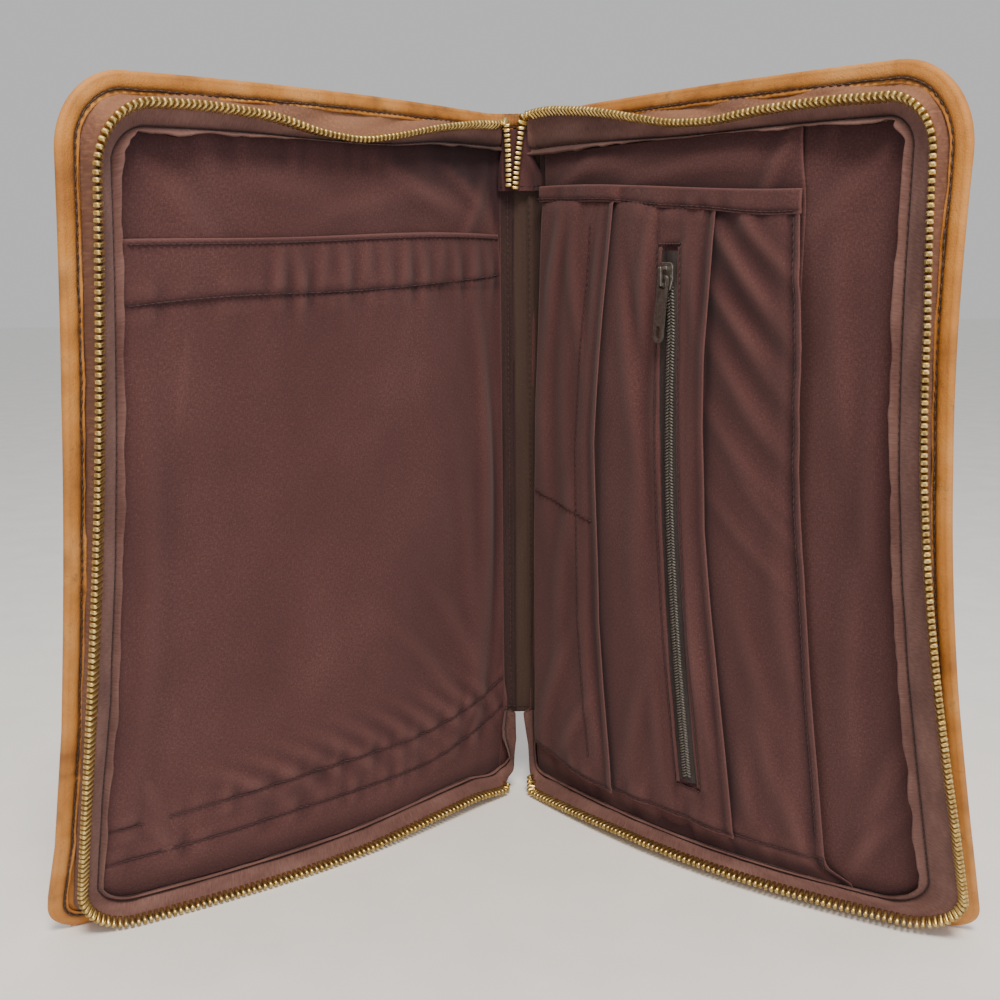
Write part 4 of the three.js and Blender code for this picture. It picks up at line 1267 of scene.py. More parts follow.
    def rim_seams(self, travel: Array) -> Array:
        """Cross seams where the turned edge was pieced, as a narrow ridge."""
        ridge = np.zeros_like(travel)
        for place in self.cross_seams:
            ridge += np.exp(-((travel - place) / 1.1) ** 2)
            ridge -= 0.8 * np.exp(-((travel - place - 2.4) / 0.9) ** 2)
        return ridge

    def grime(self, travel: Array, depth: Array) -> Array:
        """Handling marks, darkest along the free edges' folds."""
        blot = lattice_noise(travel / 13, depth / 7, 21) * 0.5
        blot = blot + lattice_noise(travel / 4.5, depth / 4, 22) * 0.5
        return np.clip(blot - 0.28, 0, 1) * 0.9

    def notch_half(self, side: Array, up: Array) -> Array:
        """Half width of the slot at the foot of the spine on one side, 0 above it."""
        radius = SIZE.notch_top / 2
        shoulder = SIZE.notch_height - radius
        foot = SIZE.notch_foot / 2 + np.where(side > 0, 1.5, 0.0)
        wide = foot + (radius - foot) * np.clip(up / shoulder, 0, 1)
        crown = np.sqrt(np.clip(radius**2 - np.clip(up - shoulder, 0, radius)**2, 0, None))
        return np.where(up < shoulder, wide, np.where(up < SIZE.notch_height, crown, 0.0))

    def add_field(self, maker: MeshMaker, off: float, inward: bool) -> None:
        """Adds one face of the hide inside the turned edge.

        Args:
            maker: where it goes.
            off: how far it lies from the outside.
            inward: whether it looks into the case.
        """
        inset = 6.0 if inward else self.field_inset - 0.6
        head = SIZE.height - EDGE_DROP - inset
        ups = np.concatenate([np.linspace(0.4, 39, 15), np.linspace(39.6, 43, 7), np.linspace(44, head, 96)])
        shares = np.concatenate([np.linspace(0, 0.08, 14)[:-1], np.linspace(0.08, 1, 72)])
        share, up = np.meshgrid(shares, ups)
        for side in (-1, 1):
            corners = CORNER_RADII[side]
            reach = SIZE.reach + EDGE_SPREAD[side] - inset
            radius = corners.top - inset
            risen = np.clip(up - head + radius, 0, radius)
            outer = reach - radius + np.sqrt(radius**2 - risen**2)
            outer = outer - np.clip(6 - up, 0, 6) * 0.6
            outer = outer + self.edge_shift(side, outer, up)
            inner = self.notch_half(np.array(side), up)
            along = inner + (outer - inner) * share
            edge = np.clip(np.minimum(head - up, outer - along) / 12, 0, 1)
            lift = (0.0 if inward else -1.0) * self.crease(side * along, up) * edge * 0.6
            pleats = self.pleats(side * along, up) * (-0.6 if inward else 1.0)
            place = SURFACE.at(side * along + (1e-9 * side), up, off + lift + pleats)
            maker.grid(place, np.stack([side * along, up], axis=-1), 0.0 * along,
                       flip=(side < 0) == inward)

    def add_notch_edge(self, maker: MeshMaker) -> None:
        """Adds the cut edge of the slot."""
        ups = np.concatenate([np.linspace(0.4, 39, 12), 39 + 4 * np.sin(np.linspace(0.1, math.pi / 2, 9))])
        ups = np.minimum(ups, SIZE.notch_height - 1e-6)
        left, right = (self.notch_half(np.array(side), ups) for side in (-1, 1))
        along = np.concatenate([-left, right[::-1]])
        up = np.concatenate([ups, ups[::-1]])
        offs = np.linspace(0, SIZE.leather, 3)
        place = SURFACE.at(along[:, None], up[:, None], offs[None, :])
        pattern = np.stack(np.broadcast_arrays(up[:, None], offs[None, :]), axis=-1)
        maker.grid(place, pattern, 0.6)


def cover_swell(along: Array, up: Array) -> Array:
    """How far pockets stand off the lining in their middle."""
    across = np.clip(np.asarray(along) / SIZE.organiser_reach, 0, 1)
    height = np.clip(np.asarray(up) / SIZE.height, 0, 1)
    return SIZE.swell * (np.sin(np.pi * across) * np.sin(np.pi * height)) ** 2


@dataclass(frozen=True)
class Wrinkle:
    """One soft fold in a cloth.

    Args:
        along: distance of its middle from the spine.
        up: height of its middle.
        angle: its direction, in degrees from level.
        length: how long it is.
        width: how wide it is.
        height: how far it stands out, negative for a furrow.
    """

    along: float
    up: float
    angle: float
    length: float
    width: float
    height: float

    def relief(self, along: Array, up: Array) -> Array:
        """How far the fold lifts the cloth."""
        turn = math.radians(self.angle)
        ahead = (along - self.along) * math.cos(turn) + (up - self.up) * math.sin(turn)
        aside = -(along - self.along) * math.sin(turn) + (up - self.up) * math.cos(turn)
        aside = aside + 0.15 * self.length * (ahead / self.length) ** 2
        return self.height * np.exp(-(ahead / (self.length / 2)) ** 2 - (aside / self.width) ** 2)


def wrinkled(wrinkles: Sequence[Wrinkle], along: Array, up: Array) -> Array:
    """All the folds of one cloth together."""
    total = np.zeros(np.broadcast(along, up).shape)
    for wrinkle in wrinkles:
        total = total + wrinkle.relief(along, up)
    return total


def puckers(distance: Array, travel: Array, seed: int, pitch: float = 9.0, reach: float = 7.0,
            depth: float = 0.5) -> Array:
    """Small gathers beside a seam.

    Args:
        distance: signed distance from the seam.
        travel: distance along the seam.
        seed: choice of their places.
        pitch: how far apart they lie.
        reach: how far they run out into the cloth.
        depth: how high they stand.

    Returns:
        The relief, with a furrow on the seam itself.
    """
    wave = lattice_noise(travel / pitch * 2, distance / 40, seed)
    fade = np.exp(-(distance / reach) ** 2)
    furrow = -0.35 * np.exp(-(distance / 1.0) ** 2)
    return depth * wave * fade * (1 - 0.6 * np.exp(-(distance / 1.5) ** 2)) + furrow


@dataclass
class EdgeCloth:
    """Facing, gusset and brass teeth of one cover.

    Args:
        side: -1 or 1.
    """

    side: int

    @property
    def word(self) -> str:
        """The side's name."""
        return "left" if self.side < 0 else "right"

    def build(self, finishes: Finishes, threads_and_seam_shadows: MeshMaker, rim_threads_and_seam_shadows: MeshMaker) -> None:
        """Makes the three strips and their seams."""
        path = zip_path(self.side)
        self.add_gusset(path, finishes, threads_and_seam_shadows)
        self.add_facing(path, finishes, rim_threads_and_seam_shadows)
        self.add_teeth(path, finishes)

    def travel(self, path: ZipPath) -> Array:
        """Distance along the zip."""
        line = SURFACE.at(self.side * path.along, path.up, path.off)
        step = np.linalg.norm(np.diff(line, axis=0), axis=1) * METRE
        return np.concatenate([[0.0], np.cumsum(step)])

    def add_gusset(self, path: ZipPath, finishes: Finishes, threads_and_seam_shadows: MeshMaker) -> None:
        """Makes the zip tape and its fold over the lining, sewn between."""
        travel = self.travel(path)
        rows = np.array([0.0, 0.02, 0.06, 0.12, 0.19, 0.26, 0.30, 0.33, 0.36, 0.38, 0.42, 0.5,
                         0.6, 0.7, 0.8, 0.88, 0.95])
        lifts = np.array([0.0, 0.75, 1.25, 1.3, 0.85, 0.3, -0.1, -0.35, -0.1, 0.3, 0.4, 0.35,
                          0.2, 0.1, 0.0, 0.0, 0.0])
        sewn = 0.33
        seam_off = SIZE.layer(Layer.DIVIDER) + 0.9
        share = np.where(rows < sewn, rows * path.seam[:, None] / sewn,
                         path.seam[:, None] + (rows - sewn) * (1 - path.seam[:, None]) / (1 - sewn))
        wave = lattice_noise(travel / 11, 0 * travel, 31 + self.side) * 0.6
        wave = wave + lattice_noise(travel / 4.2, 0 * travel, 33 + self.side) * 0.3
        near_top = smooth(path.fold_up, 300, 312)
        crumple = np.clip(1 - (path.fold_up / 50), 0, 1) * np.clip(1 - path.along / 60, 0, 1) * 4.5
        crumple = crumple + near_top * smooth(path.along, 120, 190) * 2.6 + near_top * 1.2
        crumple = crumple + smooth(-path.fold_up, -16, -11) * 1.0
        wave = wave * (1 + crumple)
        base = np.where(
            share < path.seam[:, None],
            path.fold_off[:, None] + (seam_off - path.fold_off[:, None]) * share / path.seam[:, None],
            seam_off + (path.off[:, None] - seam_off)
            * (share - path.seam[:, None]) / (1 - path.seam[:, None]))
        edge_fade = np.clip(1 - rows / 0.3, 0, 1)[None, :]
        out_share = share - wave[:, None] * 0.05 * edge_fade
        along = path.fold_along[:, None] + (path.along - path.fold_along)[:, None] * out_share
        up = path.fold_up[:, None] + (path.up - path.fold_up)[:, None] * out_share
        sag = lattice_noise(travel[:, None] / 19, share * 2, 35 + self.side) * 0.5 * np.sin(np.pi * share)
        front_off = base + lifts[None, :] + wave[:, None] * 0.6 * edge_fade + 0.35 + sag
        back_off = base - np.where(rows < 0.02, 0.0, 0.5)[None, :] + 0.3 + sag
        front = SURFACE.at(self.side * along, up, front_off)
        back = SURFACE.at(self.side * along, up, np.minimum(back_off, front_off - 0.02))
        maker = MeshMaker()
        reach = np.hypot(path.along - path.fold_along, path.up - path.fold_up)
        pattern = np.stack([reach[:, None] * share, np.broadcast_to(travel[:, None], along.shape)], axis=-1)
        # Painted shade: darker in the seam's furrow, along the tape's edge beside the teeth and, near the
        # spine's head, under the zip
        dark = np.interp(rows, [0, 0.26, 0.31, 0.33, 0.35, 0.4, 0.85, 0.95],
                         [0, 0, 0.5, 0.9, 0.5, 0.0, 0.0, 0.5])
        at_head = near_top * (1 - smooth(path.along, 40, 100)) * (0.75 if self.side < 0 else 0.4)
        dark = np.maximum(dark[None, :], at_head[:, None] * (1 - smooth(rows, 0.4, 0.7))[None, :])
        maker.grid(front, pattern, dark, flip=self.side < 0)
        maker.grid(back, pattern, dark, flip=self.side > 0)
        piece = maker.build(f"{self.word}_zip_gusset", finishes.tape)
        settle(piece, "zip_tape_cloth", f"{self.word}_gusset")
        column = int(np.argmin(np.abs(rows - sewn)))
        line = front[:, column]
        normal = unit(np.cross(np.gradient(line, axis=0), front[:, column + 1] - front[:, column - 1]))
        facing = np.sign((normal * self.inward(along[:, column], up[:, column])).sum(-1, keepdims=True))
        sew(threads_and_seam_shadows, line, normal * facing, TAPE_THREAD, 40 + self.side)

    def inward(self, along: Array, up: Array) -> Array:
        """Direction into the case at places of the cover."""
        return cover_frame(self.side, along, up, 0 * along)[3]

    def add_facing(self, path: ZipPath, finishes: Finishes, threads_and_seam_shadows: MeshMaker) -> None:
        """Makes the dark cloth from the rim up to the outside of the zip."""
        travel = self.travel(path)
        width = SIZE.rim_width - 1.5
        share_of_inset = width / SIZE.gusset_inset
        corners = CORNER_RADII[self.side]
        rim = round_corners(Line(0.0, share_of_inset, share_of_inset, share_of_inset, 0.5),
                            (corners.foot - width) / SIZE.corner, (corners.top - width) / SIZE.corner)
        shares = np.linspace(0, 1, 12)[None, :]
        end_along = path.along + (path.fold_along - path.along) * 0.06
        end_up = path.up + (path.fold_up - path.up) * 0.06
        along = rim.along[:, None] + (end_along - rim.along)[:, None] * shares
        up = rim.up[:, None] + (end_up - rim.up)[:, None] * shares
        low = SIZE.leather + 0.4
        high = np.maximum(path.off - 0.9, low)[:, None]
        sag = lattice_noise(travel[:, None] / 14, shares * 2, 51) * 0.9 * np.sin(np.pi * shares)
        folds = 0.7 * np.sin(travel[:, None] / 7 + shares * 5) * np.sin(np.pi * shares)
        folds = folds * smooth(rim.up, 315, 325)[:, None]
        off = low + (high - low) * shares ** 1.6 + sag + folds
        front = SURFACE.at(self.side * along, up, off + 0.4)
        back = SURFACE.at(self.side * along, up, off - 0.1)
        maker = MeshMaker()
        pattern = np.stack([along, up], axis=-1)
        lit = np.clip(0.45 + 0.4 * lattice_noise(travel[:, None] / 30, shares, 52), 0, 1)
        lit = smooth(rim.up, 318, 326)[:, None] * lit * (1 - 0.6 * shares)
        maker.grid(front, pattern, lit, flip=self.side < 0)
        maker.grid(back, pattern, lit, flip=self.side > 0)
        piece = maker.build(f"{self.word}_rim_facing", finishes.facing)
        settle(piece, "facing_cloth", f"{self.word}_edge_facing")

    def add_teeth(self, path: ZipPath, finishes: Finishes) -> None:
        """Makes the row of brass teeth."""
        first = RUN_STEPS["inner"] + (6 if self.side < 0 else 3)
        off = path.off + 0.3
        centre, _, _, inward = cover_frame(self.side, path.along, path.up, off)
        fold = SURFACE.at(self.side * path.fold_along, path.fold_up, 0 * off + SIZE.layer(Layer.DIVIDER))
        lean = around(stations(ZIP_LINES[self.side]), TOOTH_LEAN[self.side])
        outward = unit(centre - fold)
        inward = unit(inward - outward * (inward * outward).sum(-1, keepdims=True))
        turn = np.radians(lean)[:, None]
        head = outward * np.cos(turn) + inward * np.sin(turn)
        column, column_head = joined_column(self.side)
        ahead = unit(centre[-1] - centre[-6])
        share = np.linspace(0, 1, 9)[1:, None]
        reach = 0.45 * np.linalg.norm(column[0] - centre[-1])
        above = column[0] + unit(column[0] - column[4]) * reach
        corners = (centre[-1], centre[-1] + ahead * reach, above, column[0])
        bend = sum(weight * corner for weight, corner in zip(
            ((1 - share)**3, 3 * share * (1 - share)**2, 3 * share**2 * (1 - share), share**3), corners))
        centre = np.concatenate([centre[first:], bend])
        head = unit(np.concatenate([head[first:], head[-1] * (1 - share) + column_head[0] * share]))
        maker = MeshMaker()
        add_tooth_row(maker, centre, head, 77 + self.side)
        piece = maker.build(f"{self.word}_brass_teeth", finishes.brass)
        settle(piece, "zip_brass", f"{self.word}_zip_chain")


def joined_column(side: int) -> tuple[Array, Array]:
    """Middle line and head directions of one row where both rows mesh.

    Args:
        side: -1 or 1.

    Returns:
        Places from the top down and the directions of the teeth's heads.
    """
    top = SIZE.height - SIZE.joined_top
    share = np.linspace(0, 1, 40)
    ups = top - share * SIZE.joined_length - (PITCH_BETWEEN_TEETH / 2 if side > 0 else 0)
    spread = 1.45 + 1.9 * (1 - share) ** 1.5
    drift = -0.2 - 1.2 * share
    back = SIZE.end_tape_stand + SIZE.cloth + SIZE.gap + SIZE.chain_thickness / 2
    line = SURFACE.at(side * spread + drift, ups, back)
    slant = np.stack([-side + 0 * share, -0.25 + 0 * share, 0.45 - 0.3 * share], axis=-1)
    return line, unit(slant)


# How far the teeth lean from the tape's plane into the case, in degrees, by run
TOOTH_LEAN = {
    -1: {"inner": 30.0, "foot": 28.0, "outer": 5.0, "top": 36.0},
    1: {"inner": 30.0, "foot": 28.0, "outer": 30.0, "top": 36.0},
}
# A tooth by sections from its jaws to its head, as shares of its length, width and height
TOOTH_SECTIONS = (
    (-0.50, 0.66, 0.60), (-0.45, 0.92, 0.92), (-0.30, 1.0, 1.0), (0.0, 1.0, 1.04),
    (0.14, 0.93, 1.02), (0.28, 0.9, 0.96), (0.42, 0.86, 0.86), (0.50, 0.55, 0.50),
)
TOOTH_CORNERS = np.array([
    (1.0, 0.55), (0.72, 1.0), (-0.72, 1.0), (-1.0, 0.55),
    (-1.0, -0.55), (-0.72, -1.0), (0.72, -1.0), (1.0, -0.55),
])


# Length of a tooth across the tape
TOOTH_LENGTH = 4.7


def add_tooth_row(maker: MeshMaker, line: Array, outward: Array, seed: int,
                  pitch: float = PITCH_BETWEEN_TEETH, length: float = TOOTH_LENGTH) -> None:
    """Adds brass teeth along a line.

    Args:
        maker: where the teeth are collected.
        line: middle of the row, in metres.
        outward: the direction from the tape to the teeth's heads, at each place.
        seed: choice of the small irregularities.
        pitch: spacing of the teeth.
        length: length of a tooth across the tape.
    """
    index, centre = resample(line, pitch)
    tangent = unit(at_index(np.gradient(line, axis=0), index))
    head = at_index(outward, index)
    head = unit(head - tangent * (head * tangent).sum(-1, keepdims=True))
    normal = unit(np.cross(tangent, head))
    chance = np.random.default_rng(seed)
    tilt = chance.uniform(-0.07, 0.07, (len(index), 1))
    tangent = unit(tangent + head * tilt)
    head = unit(np.cross(normal, tangent))
    sections = np.array(TOOTH_SECTIONS)
    thickness = SIZE.chain_thickness * (0.6 + 0.4 * length / TOOTH_LENGTH)
    scale = np.array([length, 0.76 * pitch, thickness]) / METRE
    points = (
        centre[:, None, None, :]
        + head[:, None, None, :] * (sections[:, 0] * scale[0])[None, :, None, None]
        + tangent[:, None, None, :]
        * ((sections[:, 1:2] * TOOTH_CORNERS[:, 0]) * scale[1] / 2)[None, :, :, None]
        + normal[:, None, None, :]
        * ((sections[:, 2:3] * TOOTH_CORNERS[:, 1]) * scale[2] / 2)[None, :, :, None]
    )
    count, rings, corners = points.shape[:3]
    grid, quads = ring_faces(rings, corners)
    ends = []
    for ring, order in ((grid[0], -1), (grid[-1], 1)):
        turned = ring[::order]
        ends += [turned[[0, 1, 2, 3]], turned[[0, 3, 4, 7]], turned[[7, 4, 5, 6]]]
    quads = np.concatenate([quads, np.array(ends)])
    every = quads[None] + (np.arange(count) * rings * corners)[:, None, None]
    crown = np.interp(sections[:, 0], [-0.5, -0.4, 0.0, 0.14, 0.28, 0.5],
                      [0.6, 0.1, 0.0, 0.1, 0.0, 0.25])
    flank = np.where(np.abs(TOOTH_CORNERS[:, 1]) < 0.9, 0.4, 0.0)
    wear_patina_and_shade = crown[None, :, None] + flank[None, None, :] + chance.uniform(-0.12, 0.18, (count, 1, 1))
    wear_patina_and_shade = np.clip(wear_patina_and_shade, 0, 1)
    pattern = np.zeros(points.shape[:3] + (2,))
    maker.add(points, every, pattern, wear_patina_and_shade)


@dataclass
class LeftCover:
    """Lining and document pocket of the left cover.

    Args:
        upper_seam: height of the upper seam near the foot, and its rise beside the spine.
        lower_seam: the same of the lower seam.
        clear: how far the pocket stays inside the line of the fold.
    """

    upper_seam: tuple[float, float] = (46.5, 17.5)
    lower_seam: tuple[float, float] = (30.0, 20.0)
    clear: float = 1.4

    def build(self, finishes: Finishes, threads_and_seam_shadows: MeshMaker) -> None:
        """Makes the lining, then the pocket over it."""
        build_lining(-1, finishes)
        pocket = self.pocket()
        piece = settle(pocket.build(finishes.lining), "lining_cloth", "document_pocket")
        along = np.linspace(10.0, 217.5, 260)
        sew_on_panel(threads_and_seam_shadows, pocket, along, self.hem_line(along), LINING_THREAD, 60)
        sew_on_panel(threads_and_seam_shadows, pocket, along, self.top_line(along) - 2.0, LINING_THREAD, 63)
        sew_on_panel(threads_and_seam_shadows, pocket, along, self.low_line(along, *self.upper_seam), LINING_THREAD, 61)
        lower = np.linspace(17.0, 217.5, 260)
        sew_on_panel(threads_and_seam_shadows, pocket, lower, self.low_line(lower, *self.lower_seam), LINING_THREAD, 62)

    def top_line(self, along: Array) -> Array:
        """Height of the pocket's mouth."""
        return SIZE.pocket_top + 0.8 * np.sin(along / 31)

    def hem_line(self, along: Array) -> Array:
        """Height of the seam under the pocket's hem."""
        return SIZE.pocket_top - SIZE.pocket_hem + 5.5 * np.exp(-along / 26) + 0.6 * np.sin(along / 23)

    def low_line(self, along: Array, level: float, rise: float) -> Array:
        """Height of a seam near the foot, which climbs beside the spine."""
        climb = rise * np.clip(1 - along / 75, 0, 1) ** 2
        return level + climb + 0.5 * np.sin(along / 17)

    def pocket(self) -> ClothPanel:
        """The pocket's panel."""
        foot = CLOTH_FOOT + SIZE.gap
        hem_foot = SIZE.pocket_top - SIZE.pocket_hem
        outer = SIZE.reach - SIZE.gusset_inset + 2.8
        wrinkles = [Wrinkle(along, 266 - 3 * (k % 2), 92 + 9 * (-1) ** k, 30, 3.4, 1.2 - 0.15 * (k % 3))
                    for k, along in enumerate((150, 139, 127, 114, 103, 90, 79, 66, 55, 43, 31, 20))]
        wrinkles += [Wrinkle(along, 56 - 0.03 * along, 48 - 0.08 * along, 40, 3.6, 1.15)
                     for along in (24, 37, 51, 66, 80, 95, 111, 126, 143, 160)]
        wrinkles += [
            Wrinkle(23, 180, 88, 190, 5, 1.5), Wrinkle(14, 130, 91, 150, 3.5, -1.2),
            Wrinkle(33, 120, 84, 130, 6, 1.0), Wrinkle(206, 150, 90, 190, 6, 1.0),
            Wrinkle(40, 90, 60, 70, 6, 1.3), Wrinkle(60, 80, 50, 60, 5, 1.0),
            Wrinkle(100, 180, 70, 150, 26, 1.2), Wrinkle(160, 120, 110, 150, 26, -1.0),
        ]

        def relief(along: Array, up: Array) -> Array:
            swell = cover_swell(along, up) + wrinkled(wrinkles, along, up)
            broad = lattice_noise(along / 45, up / 60, 71) * 1.1
            hem = puckers(up - self.hem_line(along), along, 72, 11.0, 9.0, 0.9)
            low = puckers(up - self.low_line(along, *self.upper_seam), along, 73, 9.0, 9.0, 1.1)
            lower = puckers(up - self.low_line(along, *self.lower_seam), along, 74, 9.0, 7.0, 0.9)
            broad = broad * np.sin(np.pi * np.clip(up / 300, 0, 1))
            return swell + broad + hem + low + lower - foot_dip(up, 1.1)

        def shade(along: Array, up: Array) -> Array:
            seams = (up - self.hem_line(along), up - self.low_line(along, *self.upper_seam),
                     up - self.low_line(along, *self.lower_seam), up - SIZE.pocket_top + 2.0)
            dark = 0.55 * sum(np.exp(-(d / 1.0) ** 2) for d in seams)
            dark = dark + 0.3 * np.exp(-((up - hem_foot + 1.0) / 1.2) ** 2)
            return -dark - 0.5 * (1 - smooth(along, 8, 22)) - 0.35 * (1 - smooth(up, 8, 22))

        def hem(along: Array, up: Array) -> Array:
            return 0.55 * smooth(up, hem_foot - 0.4, hem_foot + 0.6)

        return ClothPanel(
            name="document_pocket_cloth", side=-1,
            inner=lambda up: 7.6 + 2.0 * smooth(up, 255, 285) + 3.0 * (1 - smooth(up, 12, 40)),
            outer=lambda up: (outer + np.interp(up, *FOLD_SHIFT[-1]) - self.clear
                              - np.maximum(SIZE.corner * 0.7 - (up - foot), 0) * 0.5),
            foot=lambda along: foot + 0 * along, top=self.top_line,
            back=SIZE.layer(Layer.DIVIDER), relief=relief, hem=hem, shade=shade)


# Height of the lower edge of the cloths under the foot's fold
CLOTH_FOOT = 9.2
# How far each lining goes on past its place at the free edge, under the fold
LINING_PAST = {-1: 3.0, 1: 0.0}


def foot_dip(up: Array, depth: float) -> Array:
    """How far a cloth sinks where it runs under the fold along the foot."""
    return depth * (1 - smooth(up, 11.0, 22.0))


def corner_reach(up: Array, foot: float, top: float, reach: float, radius: float) -> Array:
    """Reach of a panel with rounded outer corners, by height."""
    near = np.minimum(up - foot, top - up)
    cut = np.sqrt(np.clip(radius ** 2 - (radius - np.minimum(near, radius)) ** 2, 0, None))
    return np.where(near >= radius, reach, reach - radius + cut)


def build_lining(side: int, finishes: Finishes) -> ClothPanel:
    """Makes the lining of one cover."""
    inset = SIZE.gusset_inset
    outer = SIZE.reach - 0.87 * inset + LINING_PAST[side]
    foot = CLOTH_FOOT
    top = SIZE.height - 0.7 * inset
    radius = (0.5 if side < 0 else 0.9) * SIZE.corner
    seed = 90 + side
    wrinkles = (
        Wrinkle(60, 296, 12, 70, 5, 1.6), Wrinkle(100, 292, -8, 60, 5, 1.2),
        Wrinkle(34, 300, 34, 40, 4, 1.5), Wrinkle(150, 299, 6, 60, 6, 0.9),
        Wrinkle(30, 288, 120, 40, 4, 1.3), Wrinkle(78, 304, 20, 50, 4, 1.0),
        Wrinkle(196, 120, 84, 120, 6, 1.6), Wrinkle(204, 60, 70, 70, 5, 1.6),
        Wrinkle(192, 240, 95, 100, 6, 1.4), Wrinkle(208, 200, 88, 120, 5, 1.2),
        Wrinkle(190, 290, 40, 50, 6, 1.2), Wrinkle(198, 34, 60, 40, 4, 1.5),
    )

    def relief(along: Array, up: Array) -> Array:
        waves = wrinkled(wrinkles, along, up) * 0.8 + lattice_noise(along / 34, up / 46, seed) * 0.7
        top_gathers = 0.5 * lattice_noise(along / 5, up / 25, seed + 2) * smooth(up, 296, 312)
        return waves + top_gathers - foot_dip(up, 0.4)

    def shade(along: Array, up: Array) -> Array:
        dark = 0.55 * smooth(up, 296, 315) + 0.5 * (1 - smooth(up, 9, 22)) + 0.4 * smooth(along, 205, 219)
        at_head = np.exp(-(along / 62) ** 2) * smooth(up, 288, 312)
        away = 7.0 * smooth(up, 270, 314)
        return -dark - at_head - 0.9 * (1 - smooth(along - away, 8.5, 13.0)) * smooth(up, 240, 290)

    panel = ClothPanel(
        name="left_lining_cloth" if side < 0 else "right_lining_cloth", side=side,
        inner=lambda up: (3.4 if side < 0 else 6.4) + (3.8 if side < 0 else 0.8) * smooth(up, 40, 60),
        outer=lambda up: corner_reach(up, foot, top, outer, radius),
        foot=lambda along: foot + 0 * along, top=lambda along: top + 0 * along,
        back=SIZE.layer(Layer.LINING), relief=relief, step=2.6, shade=shade)
    word = "left" if side < 0 else "right"
    piece = settle(panel.build(finishes.lining), "lining_cloth", f"{word}_lining")
    return panel


